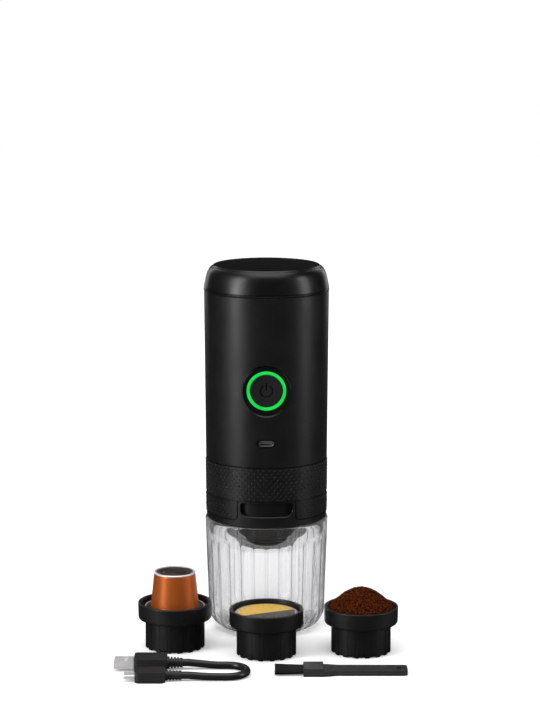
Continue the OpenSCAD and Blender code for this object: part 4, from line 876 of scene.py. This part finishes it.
# One upright outline of the cup at angle a, as (r, z, painted shade); the flutes fade out at an
# arched top and under the base. The painted shade darkens the flute edges, the rim, the inner
# floor's edge and a ring under the foot, in place of refracted shade and the shadow where the cup
# stands
def cupWall(a):
    height, curve, wall, floorZ = cup["height"], cup["curve"], cup["wall"], cup["floorZ"]
    rimR, lowR, width = cup["rimR"], cup["lowR"], cup["width"]
    foot = lowR - curve
    outer = [(foot * k / 6, 0.5 if k < 5 else 0.0) for k in range(7)]
    for k in range(1, 13):
        turn = radians(90 * k / 12)
        outer.append((foot + curve * sin(turn), curve * (1 - cos(turn))))
    for k in range(1, 26):
        z = curve + (height - cup["lip"] - curve) * k / 25
        outer.append((lowR + (rimR - lowR) * (z - curve) / (height - curve), z))
    unit = (a * cup["flutes"] / (2 * pi)) % 1.0
    off = min(unit, 1 - unit)
    ridge = cup["groove"] * exp(-(off / width) ** 2) - cup["swell"] * sin(pi * unit)
    # painted shade: a dark line along each edge of a flute's groove
    edge = exp(-((off - width) / cup["edgeShadeWidth"]) ** 2)
    archTop = cup["fluteTop"] - cup["arch"] * (off * 2) ** 4
    shaped = []
    for r, z in outer:
        share = max(0.0, min(1.0, (archTop - z) / cup["fade"]))
        share *= max(0.0, min(1.0, (r - foot + 3) / 3)) if z < curve else 1.0
        # painted shadow: a dark ring under the foot where the cup meets the floor
        seat = exp(-((r - foot - 1) / cup["footShadowWidth"]) ** 2) if z < 1.5 else 0.0
        shaped.append((r - ridge * share, z, max(edge * share, seat)))
    inLow, inRim, inCurve = lowR - wall, rimR - wall, curve - wall / 2
    # the third values on the rim and at the inner floor's edge are painted shade
    rim = [(rimR - 0.25, height - 0.3, 0.8), (rimR - 0.8, height, 0.5), (inRim + 0.8, height, 0.3),
           (inRim + 0.25, height - 0.3, 0.6), (inRim, height - cup["lip"], 0.0)]
    inner = []
    for k in range(11):
        turn = radians(90 - 90 * k / 10)
        inner.append((inLow - inCurve + inCurve * sin(turn),
                      floorZ + inCurve * (1 - cos(turn)), 0.5 if k == 10 else 0.0))
    inner += [(inner[-1][0] * k / 40, floorZ, 0.0) for k in (39, 30, 20, 10, 0)]
    return shaped + rim + inner


turns = turnsOf(cup["flutes"] * cup["perFlute"])
cupRows, cupPaintedShade = [], []
for row in zip(*[cupWall(a) for a in turns]):
    tip = row[0][0] < 1e-6
    cupRows.append([(0, 0, row[0][1])] if tip else [
        (r * cos(a - pi / 2), r * sin(a - pi / 2), z) for a, (r, z, seen) in zip(turns, row)])
    cupPaintedShade += [0.0] if tip else [seen for r, z, seen in row]
cupBody = loft("clearCup", cupRows)
# the painted shade goes with the points to the cup's material
cupBody.data.attributes.new("paintedShade", "FLOAT", "POINT").data.foreach_set("value", cupPaintedShade)
finishPiece(cupBody, "cup", "clearPlastic", ("cup",), sharp=60, weighted=False)
print("cup done")

# Brush: handle, and four tufts
brush = {"headX": 22.5, "y": -107.0, "z": 2.5, "tufts": 4, "tuftStep": 3.25, "tuftR": 1.35,
         "strands": 130, "length": 17.5, "strandR": 0.11, "flare": 0.3, "seed": 4}
copyOfNode("brush_handle", "brushHandle", "brush", "brushBlack", bevel=0.35)
tuft = growPiece("tuft", bristleTree, "bristleBlack", {
    "Count": brush["strands"], "Tuft radius": brush["tuftR"] * mm,
    "Length": brush["length"] * mm, "Strand radius": brush["strandR"] * mm,
    "Flare": brush["flare"], "Seed": brush["seed"]})
tufts = []
for i in range(brush["tufts"]):
    y = brush["y"] + (i - (brush["tufts"] - 1) / 2) * brush["tuftStep"]
    tufts.append(addObject("brushBristles", tuft.data.copy()))
    tufts[i].data.transform(Matrix.Translation((brush["headX"] * mm, y * mm, brush["z"] * mm)))
bpy.data.objects.remove(tuft)
finishPiece(joinInto(*tufts), "brush", "bristleBlack", ("brush_bristles",), weighted=False,
            sharp=80)
print("brush done")

# Pieces that stay out of sight keep their solids and get their own finishes
hiddenFinishes = {
    "steel": ("heating_plate", "pump_motor", "tact_switch", "needle_plate", "frame_screws",
              "board_screws"),
    "palePlastic": ("thermostat", "pump_head", "lid_liner"),
    "tankGrey": ("inner_frame", "brew_head"), "clearHose": ("suction_hose", "pressure_hose"),
    "redSilicone": ("heater_gasket",), "cellWrap": ("battery_cells",),
    "boardGreen": ("control_board",), "paleSilicone": ("lid_seal",),
    "silverRim": ("capsule_foil",),
}
for finishName, nodes in hiddenFinishes.items():
    for node in nodes:
        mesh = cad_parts[node].data
        mesh.materials.clear()
        mesh.materials.append(materials[finishName])

# Studio: white floor, tall lights at both sides that draw the highlights down the body, weak ones
# behind for its edges, and one from above
studio = {
    "lights": {
        "leftLight": dict(place=(-0.95, -0.62, 0.42), size=(0.3, 1.1), power=12.5),
        "rightLight": dict(place=(1.1, -0.28, 0.4), size=(0.3, 1.1), power=5.7),
        "topLight": dict(place=(0.0, -0.25, 1.7), size=(1.6, 1.6), power=20),
        "rearLeftLight": dict(place=(-0.55, 1.0, 0.5), size=(0.2, 1.0), power=1.3),
        "rearRightLight": dict(place=(0.55, 1.0, 0.5), size=(0.2, 1.0), power=1.3)},
    "aim": (0, -0.02, 0.2), "floorX": 4000, "floorFront": -3000, "floorBack": 3500,
    "worldLight": 0.4, "mirrorShare": 0.015, "floorLift": 0.2, "mirroredFloor": 0.03,
    "farLift": 0.6, "whiteFrom": 0.4, "whiteAll": 1.1, "throughCup": 0.35,
}


def addLight(name, place, size, power):
    lamp = bpy.data.lights.new(name, "AREA")
    lamp.shape = "RECTANGLE"
    lamp.size, lamp.size_y = size
    lamp.energy = power
    obj = addObject(name, lamp)
    obj.location = place
    aim = Vector(studio["aim"]) - Vector(place)
    obj.rotation_euler = aim.to_track_quat("-Z", "Y").to_euler()


for lightName, light in studio["lights"].items():
    addLight(lightName, **light)

floorX, front, rear = studio["floorX"], studio["floorFront"], studio["floorBack"]
floor = freshObject("floor", [(-floorX, front, 0), (floorX, front, 0), (floorX, rear, 0),
                              (-floorX, rear, 0)], [[0, 1, 2, 3]])
# The floor looks lit to the camera and through the cup, more so far off, and dark in reflections
floorMaterial = bpy.data.materials.new("whiteFloor")
floorMaterial.use_nodes = True
tree = floorMaterial.node_tree
floorRays = putNode(tree, "ShaderNodeLightPath").outputs
through = floorRays["Is Transmission Ray"]
floorSeen = calc(tree, "MAXIMUM", floorRays["Is Camera Ray"],
                 times(tree, through, studio["throughCup"]))
floorFar = putNode(tree, "ShaderNodeVectorMath", {0: placeOf(tree)},
                   operation="LENGTH").outputs["Value"]
farShare = spread(tree, floorFar, 0, 1, studio["whiteFrom"], studio["whiteAll"])
shader = tree.nodes["Principled BSDF"]
shader.inputs["Roughness"].default_value = 0.9
shader.inputs["Specular IOR Level"].default_value = 0.0
shader.inputs["Emission Color"].default_value = (1, 1, 1, 1)
dim = studio["mirroredFloor"]
floorMirrored = calc(tree, "GREATER_THAN", calc(
    tree, "SUBTRACT", floorRays["Is Glossy Ray"], through), 0.5)
feed(shader, "Base Color",
     colourMix(tree, floorMirrored, (0.92, 0.92, 0.92, 1), (dim, dim, dim, 1)))
lift = plus(tree, times(tree, farShare, studio["farLift"] - studio["floorLift"]),
            studio["floorLift"])
feed(shader, "Emission Strength", times(tree, floorSeen, lift))
floor.data.materials.append(floorMaterial)

world = bpy.data.worlds.new("studioWorld")
world.use_nodes = True
scene.world = world
tree = world.node_tree
worldBack = tree.nodes["Background"]
worldBack.inputs["Color"].default_value = (1, 1, 1, 1)
worldRays = putNode(tree, "ShaderNodeLightPath").outputs
seen = calc(tree, "MAXIMUM", worldRays["Is Camera Ray"], worldRays["Is Transmission Ray"])
mirrored = times(tree, worldRays["Is Glossy Ray"], studio["mirrorShare"] - studio["worldLight"])
unseen = plus(tree, mirrored, studio["worldLight"])
feed(worldBack, "Strength", calc(tree, "MAXIMUM", seen, unseen))
scene.view_settings.view_transform = "Standard"
print("studio ready")
